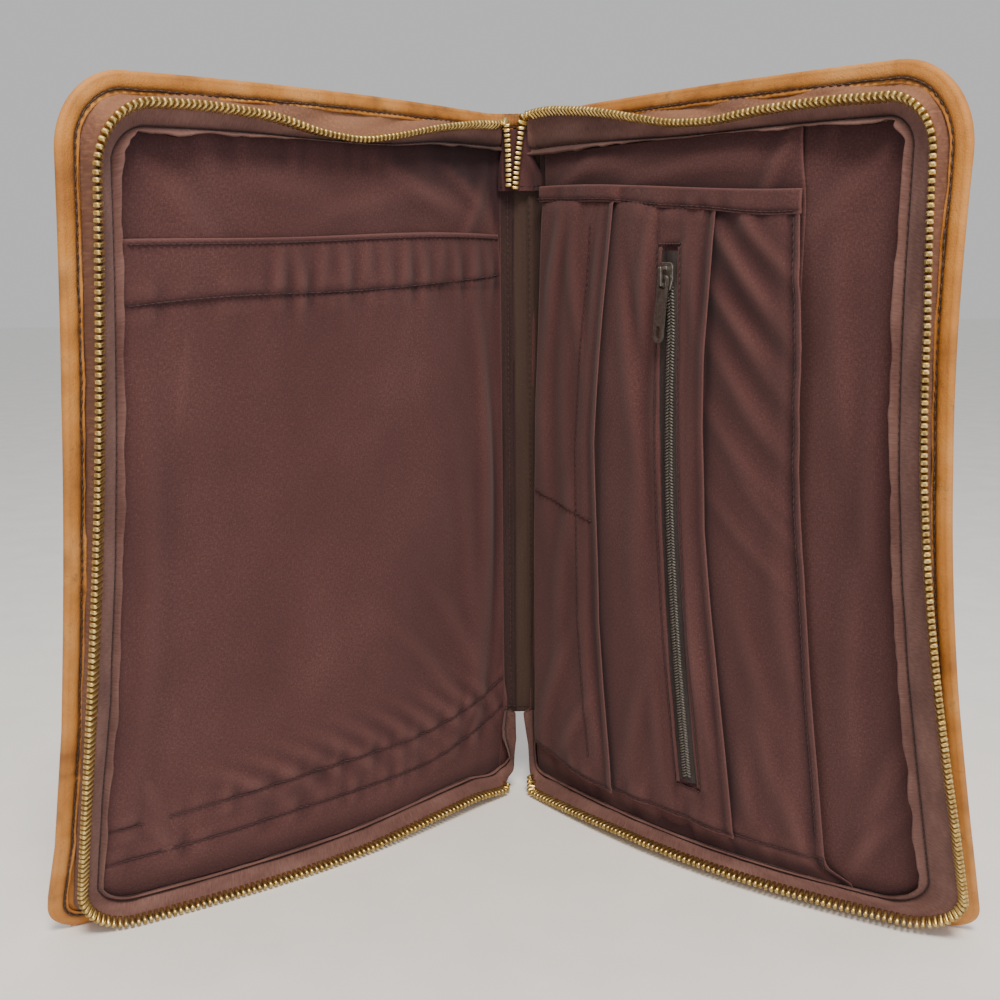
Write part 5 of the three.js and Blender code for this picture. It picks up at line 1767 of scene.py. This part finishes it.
@dataclass
class Organiser:
    """Divider, lapped sections, hem and coil zip on the right cover."""

    def share(self, up: Array) -> Array:
        """Height on the organiser, from 0 at its foot to 1 at its top."""
        return (up - SIZE.organiser_foot) / (SIZE.organiser_top - SIZE.organiser_foot)

    def zip_edge(self, up: Array) -> Array:
        """Free edge of the section that holds the coil zip."""
        table = np.interp(self.share(up), (0.0, 0.3, 0.5, 0.65, 1.0), (1.045, 1.0, 0.965, 0.965, 1.0))
        return SIZE.zip_pocket_reach * table + 3.2

    def pen_edge(self, up: Array) -> Array:
        """Free edge of the pen section."""
        table = np.interp(self.share(up), (0.0, 0.3, 0.6, 1.0), (1.04, 0.93, 0.92, 1.07))
        return SIZE.pen_pocket_reach * table + 2.1

    def outer_edge(self, up: Array) -> Array:
        """Free edge of the lowest section, which flares at its foot."""
        return np.interp(up, (9.6, 12, 14.5, 18, 23, 67, 107, 142, 182, 238, 286),
                         (190.5, 189.5, 185.0, 181.5, 180.3, 179.8, 178.9, 178.6, 177.5, 180.0, 175.0))

    def inner_edge(self, up: Array) -> Array:
        """Edge beside the spine."""
        return np.interp(up, (48, 102, 203, 300), (12.5, 14.5, 17.0, 22.0))

    def hem_top(self, along: Array) -> Array:
        """Height of the organiser's mouth, which falls away from the spine."""
        return SIZE.organiser_top + 1.0 - 7.0 * smooth(along, 20, 176)

    def hem_seam(self, along: Array) -> Array:
        """Height of the seam under the mouth's hem."""
        return self.hem_top(along) - 5.7 - 2.2 * smooth(along, 20, 176) + 0.3 * np.sin(along / 9)

    def foot_seam(self, along: Array) -> Array:
        """Height of the seam along the foot."""
        return 22.0 + 11.0 * np.clip(1 - along / 70, 0, 1) ** 2 + 0.5 * np.sin(along / 13)

    def slit(self, up: Array) -> Array:
        """Middle of the coil zip, by height."""
        share = np.clip((SIZE.slit_top - up) / (SIZE.slit_top - SIZE.slit_foot), 0, 1)
        return SIZE.slit_place + SIZE.slit_drift * share ** 2

    def section(self, name: str, layer: Layer, edge: Callable[[Array], Array],
                wrinkles: Sequence[Wrinkle], seed: int) -> ClothPanel:
        """One section of the organiser, lapped over the next."""
        number = float(layer)
        finished = layer is Layer.ORGANISER

        def relief(along: Array, up: Array) -> Array:
            gathers = puckers(up - self.foot_seam(along), along, seed, 10.0, 10.0, 1.0)
            seam = puckers(up - self.hem_seam(along), along, seed + 1, 12.0, 9.0, 0.8)
            total = cover_swell(along, up) + wrinkled(wrinkles, along, up) + gathers + seam
            total = total + lattice_noise(along / 22, up / 60, seed + 2) * 0.7
            inward = edge(up) - along
            total = total + 0.55 * np.exp(-(inward / 1.5) ** 2) - 0.7 * np.exp(-((inward - 4.4) / 1.6) ** 2)
            total = total + 2.0 * np.exp(-((up - 232) / 42) ** 2 - (inward / 11) ** 2)
            if layer is Layer.ZIP_POCKET:
                beside = np.abs(along - self.slit(up)) - SIZE.tape_width / 2
                inside = smooth(up, SIZE.slit_foot - 4, SIZE.slit_foot - 1)
                inside = inside * (1 - smooth(up, SIZE.slit_top + 1, SIZE.slit_top + 4))
                lip = 0.5 * np.exp(-((beside - 1.2) / 2.0) ** 2) - 1.1 * smooth(-beside, -0.6, 0.8)
                total = total + inside * lip
            if finished:
                return total - foot_dip(up, 2.2)
            return total - 1.7 * smooth(up - self.hem_seam(along), -1.5, 1.5)

        def shade(along: Array, up: Array) -> Array:
            inward = edge(up) - along
            dark = 0.45 * np.exp(-((inward - 4.2) / 1.6) ** 2)
            dark = dark + 0.5 * np.exp(-((up - self.foot_seam(along)) / 1.1) ** 2)
            dark = dark + 0.5 * np.exp(-((up - self.hem_seam(along)) / 3.0) ** 2)
            dark = dark + 0.4 * (1 - smooth(up, 9, 20))
            for lower in self.covering(layer):
                beyond = along - lower(up)
                dark = dark + 0.75 * np.exp(-np.clip(beyond, 0, None) / 3.2) * (beyond > -3)
            if layer is Layer.ZIP_POCKET:
                dark = dark + 0.4 * np.exp(-((np.abs(along - self.slit(up)) - 7.0) / 1.0) ** 2)
            return -dark

        return ClothPanel(
            name=name, side=1,
            inner=lambda up: self.inner_edge(up) + number * SIZE.gap, outer=edge,
            foot=(lambda along: 9.6 + 0 * along) if finished else (lambda along: self.foot_seam(along) - 1.6),
            top=lambda along: self.hem_top(along) - (0.5 if finished else 4.0),
            back=SIZE.layer(number), relief=relief, shade=shade, reach=(float(edge(150.0)) - 13.0, 275.0),
            trim=self.add_lips if layer is Layer.ZIP_POCKET else None)

    def covering(self, layer: Layer) -> list[Callable[[Array], Array]]:
        """Edges of the sections that lie over a layer."""
        return {Layer.ORGANISER: [self.zip_edge], Layer.ZIP_POCKET: [self.pen_edge]}.get(layer, [])

    def add_lips(self, maker: MeshMaker) -> None:
        """Adds the folded lips beside the opening of the coil zip."""
        up, turn = np.meshgrid(np.linspace(SIZE.slit_foot - 1.5, SIZE.slit_top + 1.5, 150),
                               np.linspace(0, 2 * math.pi, 11)[:-1], indexing="ij")
        for side in (-1, 1):
            swing = 0.35 * np.sin(up / 17 + side) + 0.2 * np.sin(up / 5.3)
            along = self.slit(up) + side * (SIZE.tape_width / 2 + 0.2) + swing * 0.5 + 0.95 * np.cos(turn)
            off = SIZE.layer(Layer.ZIP_POCKET) + 1.0 + cover_swell(along, up)
            off = off + 0.62 * np.sin(turn) + 0.1 * swing
            pattern = np.stack([along, up], axis=-1)
            maker.grid(SURFACE.at(along, up, off), pattern, 0.25, flip=True, ring=True)

    def build(self, finishes: Finishes, threads_and_seam_shadows: MeshMaker) -> None:
        """Makes the sections from the back to the front, then the zip."""
        divider = self.divider()
        piece = settle(divider.build(finishes.lining), "lining_cloth", "divider_panel")
        outer = self.section("organiser_outer_section", Layer.ORGANISER, self.outer_edge, [
            Wrinkle(152 + 4 * (-1) ** k, up, 140 - 2 * (k % 3), 50 + 6 * (k % 2), 4.2, 1.9 - 0.12 * k)
            for k, up in enumerate((276, 265, 254, 243, 231, 219, 206, 192, 177, 160))
        ] + [
            Wrinkle(150, 110, 108, 60, 6, 1.3), Wrinkle(166, 130, 96, 70, 5, 1.1),
            Wrinkle(158, 60, 104, 60, 5, 1.4), Wrinkle(146, 44, 96, 40, 4, 1.2),
            Wrinkle(168, 40, 100, 40, 4, 1.3),
        ], 101)
        zipped = self.section("organiser_zip_section", Layer.ZIP_POCKET, self.zip_edge, [
            Wrinkle(121, 262, 100, 60, 4, 1.1), Wrinkle(94, 264, 84, 60, 4, 1.6),
            Wrinkle(84, 258, 100, 50, 3.5, -1.2), Wrinkle(84, 226, 96, 90, 5, 1.4),
            Wrinkle(96, 200, 92, 110, 4, -1.0), Wrinkle(90, 150, 88, 90, 6, 1.1),
            Wrinkle(86, 60, 78, 60, 5, 1.2), Wrinkle(124, 90, 98, 80, 4, 1.1),
            Wrinkle(124, 190, 88, 90, 4, 1.0), Wrinkle(100, 60, 95, 70, 4, 1.0),
        ], 111)
        pens = self.section("organiser_pen_section", Layer.PEN_POCKET, self.pen_edge, [
            Wrinkle(34, 266, 78, 60, 4, 1.5), Wrinkle(48, 258, 96, 60, 4, 1.4),
            Wrinkle(58, 262, 84, 50, 3, -1.0), Wrinkle(26, 200, 88, 110, 5, 1.4),
            Wrinkle(42, 190, 93, 110, 5, 1.2), Wrinkle(38, 120, 84, 90, 5, 1.2),
            Wrinkle(30, 60, 70, 70, 5, 1.5), Wrinkle(56, 80, 96, 80, 4, 1.0),
            Wrinkle(46, 46, 60, 40, 4, 1.2),
        ], 121)
        for panel, node, width in (
            (outer, "organiser_panel", 163.0),
            (zipped, "organiser_zip_pocket", 116.0),
            (pens, "organiser_pen_pocket", 54.0),
        ):
            piece = settle(panel.build(finishes.lining), "lining_cloth", node)
        hem = self.hem()
        piece = settle(hem.build(finishes.lining), "lining_cloth", "organiser_hem")
        self.add_seams(threads_and_seam_shadows, outer, zipped, pens, hem)
        self.add_coil_zip(finishes, zipped, threads_and_seam_shadows)

    def divider(self) -> ClothPanel:
        """The panel behind the organiser."""
        inset = SIZE.gusset_inset
        top = SIZE.height - 0.9 * inset + 0.6
        wrinkles = (Wrinkle(120, 305, 4, 80, 4, 1.3), Wrinkle(60, 308, -5, 60, 4, 1.1),
                    Wrinkle(40, 303, 20, 40, 3, 1.0), Wrinkle(160, 300, 60, 40, 4, 1.1))

        def relief(along: Array, up: Array) -> Array:
            return cover_swell(along, up) + wrinkled(wrinkles, along, up) - foot_dip(up, 1.1)

        def shade(along: Array, up: Array) -> Array:
            above = np.clip(up - self.hem_top(along), 0, None)
            return -0.6 * np.exp(-above / 5.0) - 0.5 * smooth(up, 304, 315)

        return ClothPanel(
            name="divider_cloth", side=1,
            inner=lambda up: self.inner_edge(up) - 0.4,
            outer=lambda up: SIZE.organiser_reach - 1.2 + 1.2 * np.sin(up / 40) - 3.0 * smooth(up, 285, 312),
            foot=lambda along: CLOTH_FOOT + 0.2 + 0 * along, top=lambda along: top + 0 * along,
            back=SIZE.layer(Layer.DIVIDER), relief=relief, step=3.0, shade=shade)

    def hem(self) -> ClothPanel:
        """Band that binds the mouth of the organiser."""
        def relief(along: Array, up: Array) -> Array:
            steps = 1.3 * smooth(self.pen_edge(up) + 2 - along, -1.5, 1.5) - 0.5
            seam = -0.45 * np.exp(-((up - self.hem_seam(along)) / 0.8) ** 2)
            wave = lattice_noise(along / 6, up / 9, 131) * 0.5
            wave = wave + lattice_noise(along / 20, up / 30, 132) * 0.5
            return cover_swell(along, up) + steps + seam + wave

        def shade(along: Array, up: Array) -> Array:
            return -0.6 * np.exp(-((up - self.hem_seam(along)) / 0.8) ** 2)

        return ClothPanel(
            name="organiser_mouth_hem", side=1,
            inner=lambda up: self.inner_edge(up) + 0.2, outer=lambda up: self.outer_edge(up) + 0.4,
            foot=lambda along: self.hem_seam(along) - 1.1, top=self.hem_top,
            back=SIZE.layer(Layer.ZIP_POCKET), relief=relief, shade=shade, thick=1.4, step=1.2, edge=1.1,
            reach=(160.0, 9.0))

    def add_seams(self, threads_and_seam_shadows: MeshMaker, outer: ClothPanel, zipped: ClothPanel, pens: ClothPanel,
                  hem: ClothPanel) -> None:
        """Sews the organiser."""
        across = np.linspace(20.0, 172.0, 200)
        sew_on_panel(threads_and_seam_shadows, hem, across, self.hem_seam(across), LINING_THREAD, 141)
        heights = np.linspace(34.0, 284.0, 200)
        sew_on_panel(threads_and_seam_shadows, pens, self.pen_edge(heights) - 14.5, heights, LINING_THREAD, 142)
        slanted = np.linspace(19.0, 61.0, 50)
        sew_on_panel(threads_and_seam_shadows, pens, slanted, 160.5 - 9.0 * (slanted - 19) / 42, LINING_THREAD, 143)
        for panel, low, high in ((pens, 16.0, 68.0), (zipped, 72.0, 134.0), (outer, 139.0, 178.0)):
            span = np.linspace(low, high, 80)
            sew_on_panel(threads_and_seam_shadows, panel, span, self.foot_seam(span), LINING_THREAD, 144)
        sew_on_panel(threads_and_seam_shadows, outer, self.outer_edge(heights) - 3.2, heights, LINING_THREAD, 145)
        tack = np.linspace(17.0, 23.0, 12)
        for shift in (-0.6, 0.0, 0.6):
            sew_on_panel(threads_and_seam_shadows, outer, 0 * tack + 179.0 + shift, tack, Thread(1.2, 1.5, 0.8, 0.2), 146)

    def add_coil_zip(self, finishes: Finishes, panel: ClothPanel, threads_and_seam_shadows: MeshMaker) -> None:
        """Makes the tape and coil of the organiser's zip."""
        ups = np.linspace(SIZE.slit_foot, SIZE.slit_top, 140)
        shares = np.linspace(-1, 1, 13)
        up, share = np.meshgrid(ups, shares, indexing="ij")
        middle = self.slit(up)
        along = middle + share * (SIZE.tape_width / 2 + 0.3)
        crown = 1.3 * np.exp(-((along - middle - self.coil_place(up)) / 3.0) ** 4)
        base = SIZE.layer(Layer.ZIP_POCKET) + cover_swell(along, up) + 0.6
        ribs = 0.07 * np.sin(up * 2 * np.pi / 1.3) + 0.25 * np.sin(up / 9) * share
        maker = MeshMaker()
        pattern = np.stack([along, up], axis=-1)
        maker.grid(SURFACE.at(along, up, base + 0.25 + crown + ribs), pattern, 0.0)
        maker.grid(SURFACE.at(along, up, base - 0.9), pattern, 0.0, flip=True)
        piece = maker.build("organiser_zip_tape", finishes.nylon_tape)
        settle(piece, "coil_zip", "pocket_zip_tape")
        maker = MeshMaker()
        self.add_coil_turns(maker)
        settle(maker.build("organiser_zip_coil", finishes.coil), "coil_zip", "pocket_zip_coil")
        for shift in (-SIZE.tape_width / 2 - 1.4, SIZE.tape_width / 2 + 1.4):
            heights = np.linspace(SIZE.slit_foot - 2, SIZE.slit_top + 2, 180)
            sew_on_panel(threads_and_seam_shadows, panel, self.slit(heights) + shift, heights, LINING_THREAD, 151)
        for height in (SIZE.slit_top + 2.6, SIZE.slit_foot - 3.0):
            span = self.slit(np.array(height)) + np.linspace(-6.5, 6.5, 24)
            sew_on_panel(threads_and_seam_shadows, panel, span, height + 0 * span, Thread(1.5, 1.4, 0.7, 0.3), 152)

    def coil_place(self, up: Array) -> Array:
        """How far the coil lies from the middle of its opening, by height."""
        return np.interp(up, (41, 127, 171, 220, 240, 250, 262), (0.6, 0.9, 1.2, 2.2, 2.8, 2.4, 1.2))

    def add_coil_turns(self, maker: MeshMaker) -> None:
        """Adds the two meshed rows of the coil as slanted beads."""
        top = SIZE.slit_top - SIZE.slider_drop + 5.5
        pitch = 1.3
        count = int((top - SIZE.slit_foot - 3) / pitch)
        ups = SIZE.slit_foot + 3 + np.arange(count) * pitch
        base = SIZE.layer(Layer.ZIP_POCKET) + 1.0 + SIZE.gap
        for row, slant in ((-1, 0.5), (1, -0.5)):
            heights = ups + (0.5 * pitch if row > 0 else 0.0)
            middle = self.slit(heights) + self.coil_place(heights) + row * SIZE.coil_width / 4
            off = base + cover_swell(middle, heights) + 0.95
            place, out, upward, inward = cover_frame(1, middle, heights, off)
            along = unit(out + upward * slant)
            over = unit(np.cross(inward, along))
            rings = np.linspace(-1, 1, 5)
            angles = np.linspace(0, 2 * np.pi, 7)[:-1]
            swell = np.sqrt(np.clip(1 - 0.9 * rings ** 4, 0, 1))
            reach = SIZE.coil_width * 0.3 / METRE
            high = 0.72 / METRE * swell[:, None] * np.sin(angles)
            wide = 0.5 / METRE * swell[:, None] * np.cos(angles)
            points = (
                place[:, None, None, :]
                + along[:, None, None, :] * (rings * reach)[None, :, None, None]
                + inward[:, None, None, :] * high[None, :, :, None]
                + over[:, None, None, :] * wide[None, :, :, None]
            )
            add_beads(maker, points)


@dataclass
class SpineCloth:
    """Lining of the spine and the joined end of the zip."""

    def build(self, finishes: Finishes, threads_and_seam_shadows: MeshMaker) -> None:
        """Makes the strip, the end tape and the last teeth."""
        self.add_strip(finishes, threads_and_seam_shadows)
        self.add_end_tape(finishes, threads_and_seam_shadows)
        self.add_joined_teeth(finishes)

    def relief(self, along: Array, up: Array) -> Array:
        """Upright wrinkles of the strip."""
        folds = 0.7 * np.sin(along * 1.1 + 0.6 * np.sin(up / 24)) * lattice_noise(along / 6, up / 45, 161)
        return folds + 0.8 * np.exp(-((along + 1.7) / 1.0) ** 2)

    def add_strip(self, finishes: Finishes, threads_and_seam_shadows: MeshMaker) -> None:
        """Makes the strip between the linings."""
        ups = np.linspace(SIZE.notch_height - 1.5, SIZE.height - SIZE.rim_width - 0.4, 150)
        shares = np.linspace(0, 1, 36)
        up, share = np.meshgrid(ups, shares, indexing="ij")
        right = Organiser().inner_edge(up) + 0.9
        along = -7.7 + (right + 7.7) * share
        off = SIZE.layer(Layer.LINING) + self.relief(along, up) + 0.6 * smooth(along, 4, 8)
        # Paler right of the seam at -0.85; painted shade in the seam's fold and towards the organiser's edge
        tone_and_shade = np.where(along > -0.85, 0.75 + 0.25 * lattice_noise(along / 5, up / 30, 165), 0.0)
        tone_and_shade = tone_and_shade - 0.9 * np.exp(-((along + 0.85) / 0.5) ** 2) - 0.5 * smooth(along, 8, 15)
        maker = MeshMaker()
        pattern = np.stack([along, up], axis=-1)
        maker.grid(SURFACE.at(along, up, off + 1.0), pattern, np.clip(tone_and_shade, -1, 1))
        maker.grid(SURFACE.at(along, up, off * 0 + SIZE.layer(Layer.LINING)), pattern, 0.0, flip=True)
        piece = maker.build("spine_strip_cloth", finishes.spine)
        settle(piece, "spine_cloth", "spine_lining")
        heights = np.linspace(SIZE.notch_height + 2, 298.0, 160)
        foot = np.linspace(-6.5, 9.5, 24)
        for places, levels, seed in (
            (-3.4 + 0 * heights, heights, 162), (7.6 + 0 * heights, heights, 163),
            (foot, SIZE.notch_height + 1.6 + 0 * foot, 164),
        ):
            off = SIZE.layer(Layer.LINING) + 1.0 + self.relief(places, levels) + 0.6 * smooth(places, 4, 8)
            line = SURFACE.at(places, levels, off)
            sew(threads_and_seam_shadows, line, np.broadcast_to([0.0, -1.0, 0.0], line.shape), LINING_THREAD, seed)

    def add_end_tape(self, finishes: Finishes, threads_and_seam_shadows: MeshMaker) -> None:
        """Makes the cloth that carries the joined end."""
        top = SIZE.height - SIZE.rim_width - SIZE.gap
        foot = top - SIZE.end_tape_length
        shoulder = SIZE.height - 0.9 * SIZE.gusset_inset - SIZE.cloth - SIZE.gap
        ups = np.concatenate([np.linspace(foot, shoulder, 14), np.linspace(shoulder + 0.5, top, 16)])
        shares = np.linspace(-1, 1, 21)
        up, share = np.meshgrid(ups, shares, indexing="ij")
        narrow = smooth(up, foot + 4.0, top - 3.0)
        wide = np.where(share < 0, SIZE.end_tape_half - 2.5, SIZE.end_tape_half + 8.0)
        half = wide + (SIZE.notch_side - SIZE.gap - wide) * narrow
        along = half * share
        away = np.clip(np.abs(along) / SIZE.end_tape_half, 0, 1)
        edge = SIZE.layer(Layer.ORGANISER) + SIZE.gap
        off = SIZE.end_tape_stand + (edge - SIZE.end_tape_stand) * away
        folds = np.sin(share * 9.0 + up / 6)
        off = off + 0.5 * folds * (1 - narrow)
        maker = MeshMaker()
        pattern = np.stack([along, up], axis=-1)
        shade = -0.35 - 0.5 * smooth(np.abs(share), 0.5, 0.9) + 0.25 * folds * (1 - narrow)
        maker.grid(SURFACE.at(along, up, off + 0.7), pattern, shade)
        maker.grid(SURFACE.at(along, up, off), pattern, shade, flip=True)
        piece = maker.build("zip_end_cloth", finishes.lining)
        settle(piece, "zip_tape_cloth", "zip_end_tape")
        seam_row = 2
        line = SURFACE.at(along[seam_row], up[seam_row], off[seam_row] + 0.7)
        sew(threads_and_seam_shadows, line, np.broadcast_to([0.0, -1.0, 0.0], line.shape), LINING_THREAD, 166)

    def add_joined_teeth(self, finishes: Finishes) -> None:
        """Makes both rows of teeth where they mesh in front of the spine's head."""
        maker = MeshMaker()
        for side in (-1, 1):
            line, head = joined_column(side)
            add_tooth_row(maker, line, head, 170 + side, pitch=2.05, length=3.2)
        piece = maker.build("joined_brass_teeth", finishes.brass)
        settle(piece, "zip_brass", "zip_joined_end")


@dataclass
class Studio:
    """Floor, lights and camera.

    Args:
        eye: place of the camera, in metres.
        pitch: how far it looks down, in degrees.
        roll: its tilt, in degrees.
        lens: focal length in millimetres on a 36 mm sensor.
    """

    eye: tuple[float, float, float] = (-0.00446, -0.48055, 0.26197)
    pitch: float = 10.76
    roll: float = -0.54
    lens: float = 42.85

    def build(self) -> None:
        """Makes the whole studio."""
        self.add_floor()
        self.add_lights()
        self.add_camera()

    def add_floor(self) -> None:
        """Pale floor."""
        mesh = bpy.data.meshes.new("pale_floor")
        reach = 6.0
        corners = [(-reach, -reach, 0), (reach, -reach, 0), (reach, reach, 0), (-reach, reach, 0)]
        mesh.from_pydata(corners, [], [(0, 1, 2, 3)])
        floor = bpy.data.objects.new("pale_floor", mesh)
        bpy.context.scene.collection.objects.link(floor)
        s = Surface("matt_white_floor")
        speck = s.noise(s.stretched(40.0, 40.0, solid=True), 2.0, 0.5)
        s.set(Base_Color=s.ramp(speck, (0.3, "#f4f3f1"), (0.7, "#fbfaf8")), Roughness=0.8)
        s.set(Specular_IOR_Level=0.1)
        mesh.materials.append(s.material)

    def add_lights(self) -> None:
        """Soft light from above in front, a fill from the right and a white room."""
        scene = bpy.context.scene
        world = bpy.data.worlds.new("white_room")
        scene.world = world
        world.use_nodes = True
        background = world.node_tree.nodes["Background"]
        background.inputs[0].default_value = (1.0, 1.0, 1.0, 1.0)
        background.inputs[1].default_value = 0.6
        self.add_area("key_light", (0.08, -0.75, 1.25), (0.0, -0.02, 0.17), 0.4, 21.0, "#fff4e6")
        self.add_area("fill_light", (0.8, -1.5, 0.5), (0.0, 0.0, 0.15), 1.2, 6.5, "#f2f5ff")

    def add_area(self, name: str, place: tuple[float, float, float], aim: tuple[float, float, float],
                 size: float, power: float, colour: str) -> None:
        """Adds one square soft light."""
        light = bpy.data.lights.new(name, "AREA")
        light.size = size
        light.energy = power
        light.color = from_hex(colour)[:3]
        lamp = bpy.data.objects.new(name, light)
        lamp.location = place
        lamp.rotation_euler = (Vector(aim) - Vector(place)).to_track_quat("-Z", "Y").to_euler()
        bpy.context.scene.collection.objects.link(lamp)

    def add_camera(self) -> None:
        """Camera at the photograph's place."""
        data = bpy.data.cameras.new("camera")
        data.lens = self.lens
        data.sensor_width = 36.0
        data.sensor_fit = "HORIZONTAL"
        data.clip_start = 0.01
        camera = bpy.data.objects.new("camera", data)
        camera.location = self.eye
        camera.rotation_mode = "XYZ"
        look = Euler((math.radians(90 - self.pitch), 0.0, 0.0)).to_matrix().to_4x4()
        tilt = Matrix.Rotation(math.radians(self.roll), 4, "Z")
        camera.rotation_euler = (look @ tilt).to_euler()
        bpy.context.scene.collection.objects.link(camera)
        bpy.context.scene.camera = camera


def add_rim_stitches(maker: MeshMaker) -> None:
    """Sews the turned edge of the leather, from notch to notch."""
    shell = LeatherShell()
    depth = np.array([shell.seam_depth])
    along, up, travel = shell.outline(depth)
    lift = lattice_noise(travel / 22, depth / 30, 8) * 0.35
    wobble = 0.25 * lattice_noise(travel / 6, 0 * travel, 24)
    up = up + np.where(up > RIM_TOP, wobble, 0)
    place = SURFACE.at(along[:, 0] + wobble[:, 0], up[:, 0], SIZE.leather + SIZE.rim_rise - 0.05 + lift[:, 0])
    below = SURFACE.at(along[:, 0], up[:, 0], 0 * up[:, 0])
    sew(maker, place, unit(place - below), RIM_THREAD, 181)


def add_metal(finishes: Finishes) -> None:
    """Makes the slider and its pull from the solids, with their edges rounded off."""
    for node_name, name, body in (
        ("pocket_zip_slider", "cast_zip_slider", "case"), ("pocket_zip_pull", "cast_zip_pull", "pull"),
    ):
        node = frame["nodes"][node_name]
        mesh = node.data.copy()
        mesh.name = name
        mesh.materials.clear()
        mesh.materials.append(finishes.gunmetal)
        work = bmesh.new()
        work.from_mesh(mesh)
        bmesh.ops.remove_doubles(work, verts=work.verts, dist=1e-6)
        bmesh.ops.dissolve_limit(work, angle_limit=math.radians(2), verts=work.verts, edges=work.edges)
        work.to_mesh(mesh)
        work.free()
        piece = bpy.data.objects.new(name, mesh)
        bpy.context.scene.collection.objects.link(piece)
        bevel = piece.modifiers.new("rounded_edges", "BEVEL")
        bevel.width = 0.28 / METRE
        bevel.segments = 3
        bevel.limit_method = "ANGLE"
        bevel.angle_limit = math.radians(35)
        settle(piece, "slider_metal", node_name, body=body)


def main() -> None:
    """Builds the case from the leather inwards."""
    logging.basicConfig(level=logging.INFO, format="%(message)s")
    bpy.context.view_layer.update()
    Studio().build()
    finishes = Finishes()
    threads_and_seam_shadows, rim_threads_and_seam_shadows = MeshMaker(), MeshMaker()
    LeatherShell().build(finishes)
    for side in (-1, 1):
        EdgeCloth(side).build(finishes, threads_and_seam_shadows, rim_threads_and_seam_shadows)
    LeftCover().build(finishes, threads_and_seam_shadows)
    build_lining(1, finishes)
    Organiser().build(finishes, threads_and_seam_shadows)
    SpineCloth().build(finishes, threads_and_seam_shadows)
    add_rim_stitches(rim_threads_and_seam_shadows)
    settle(threads_and_seam_shadows.build("lining_stitches_and_seam_shadows", finishes.thread), "lining_cloth")
    settle(rim_threads_and_seam_shadows.build("rim_stitches_and_seam_shadows", finishes.rim_thread), "leather")
    add_metal(finishes)


if __name__ == "__main__":
    main()
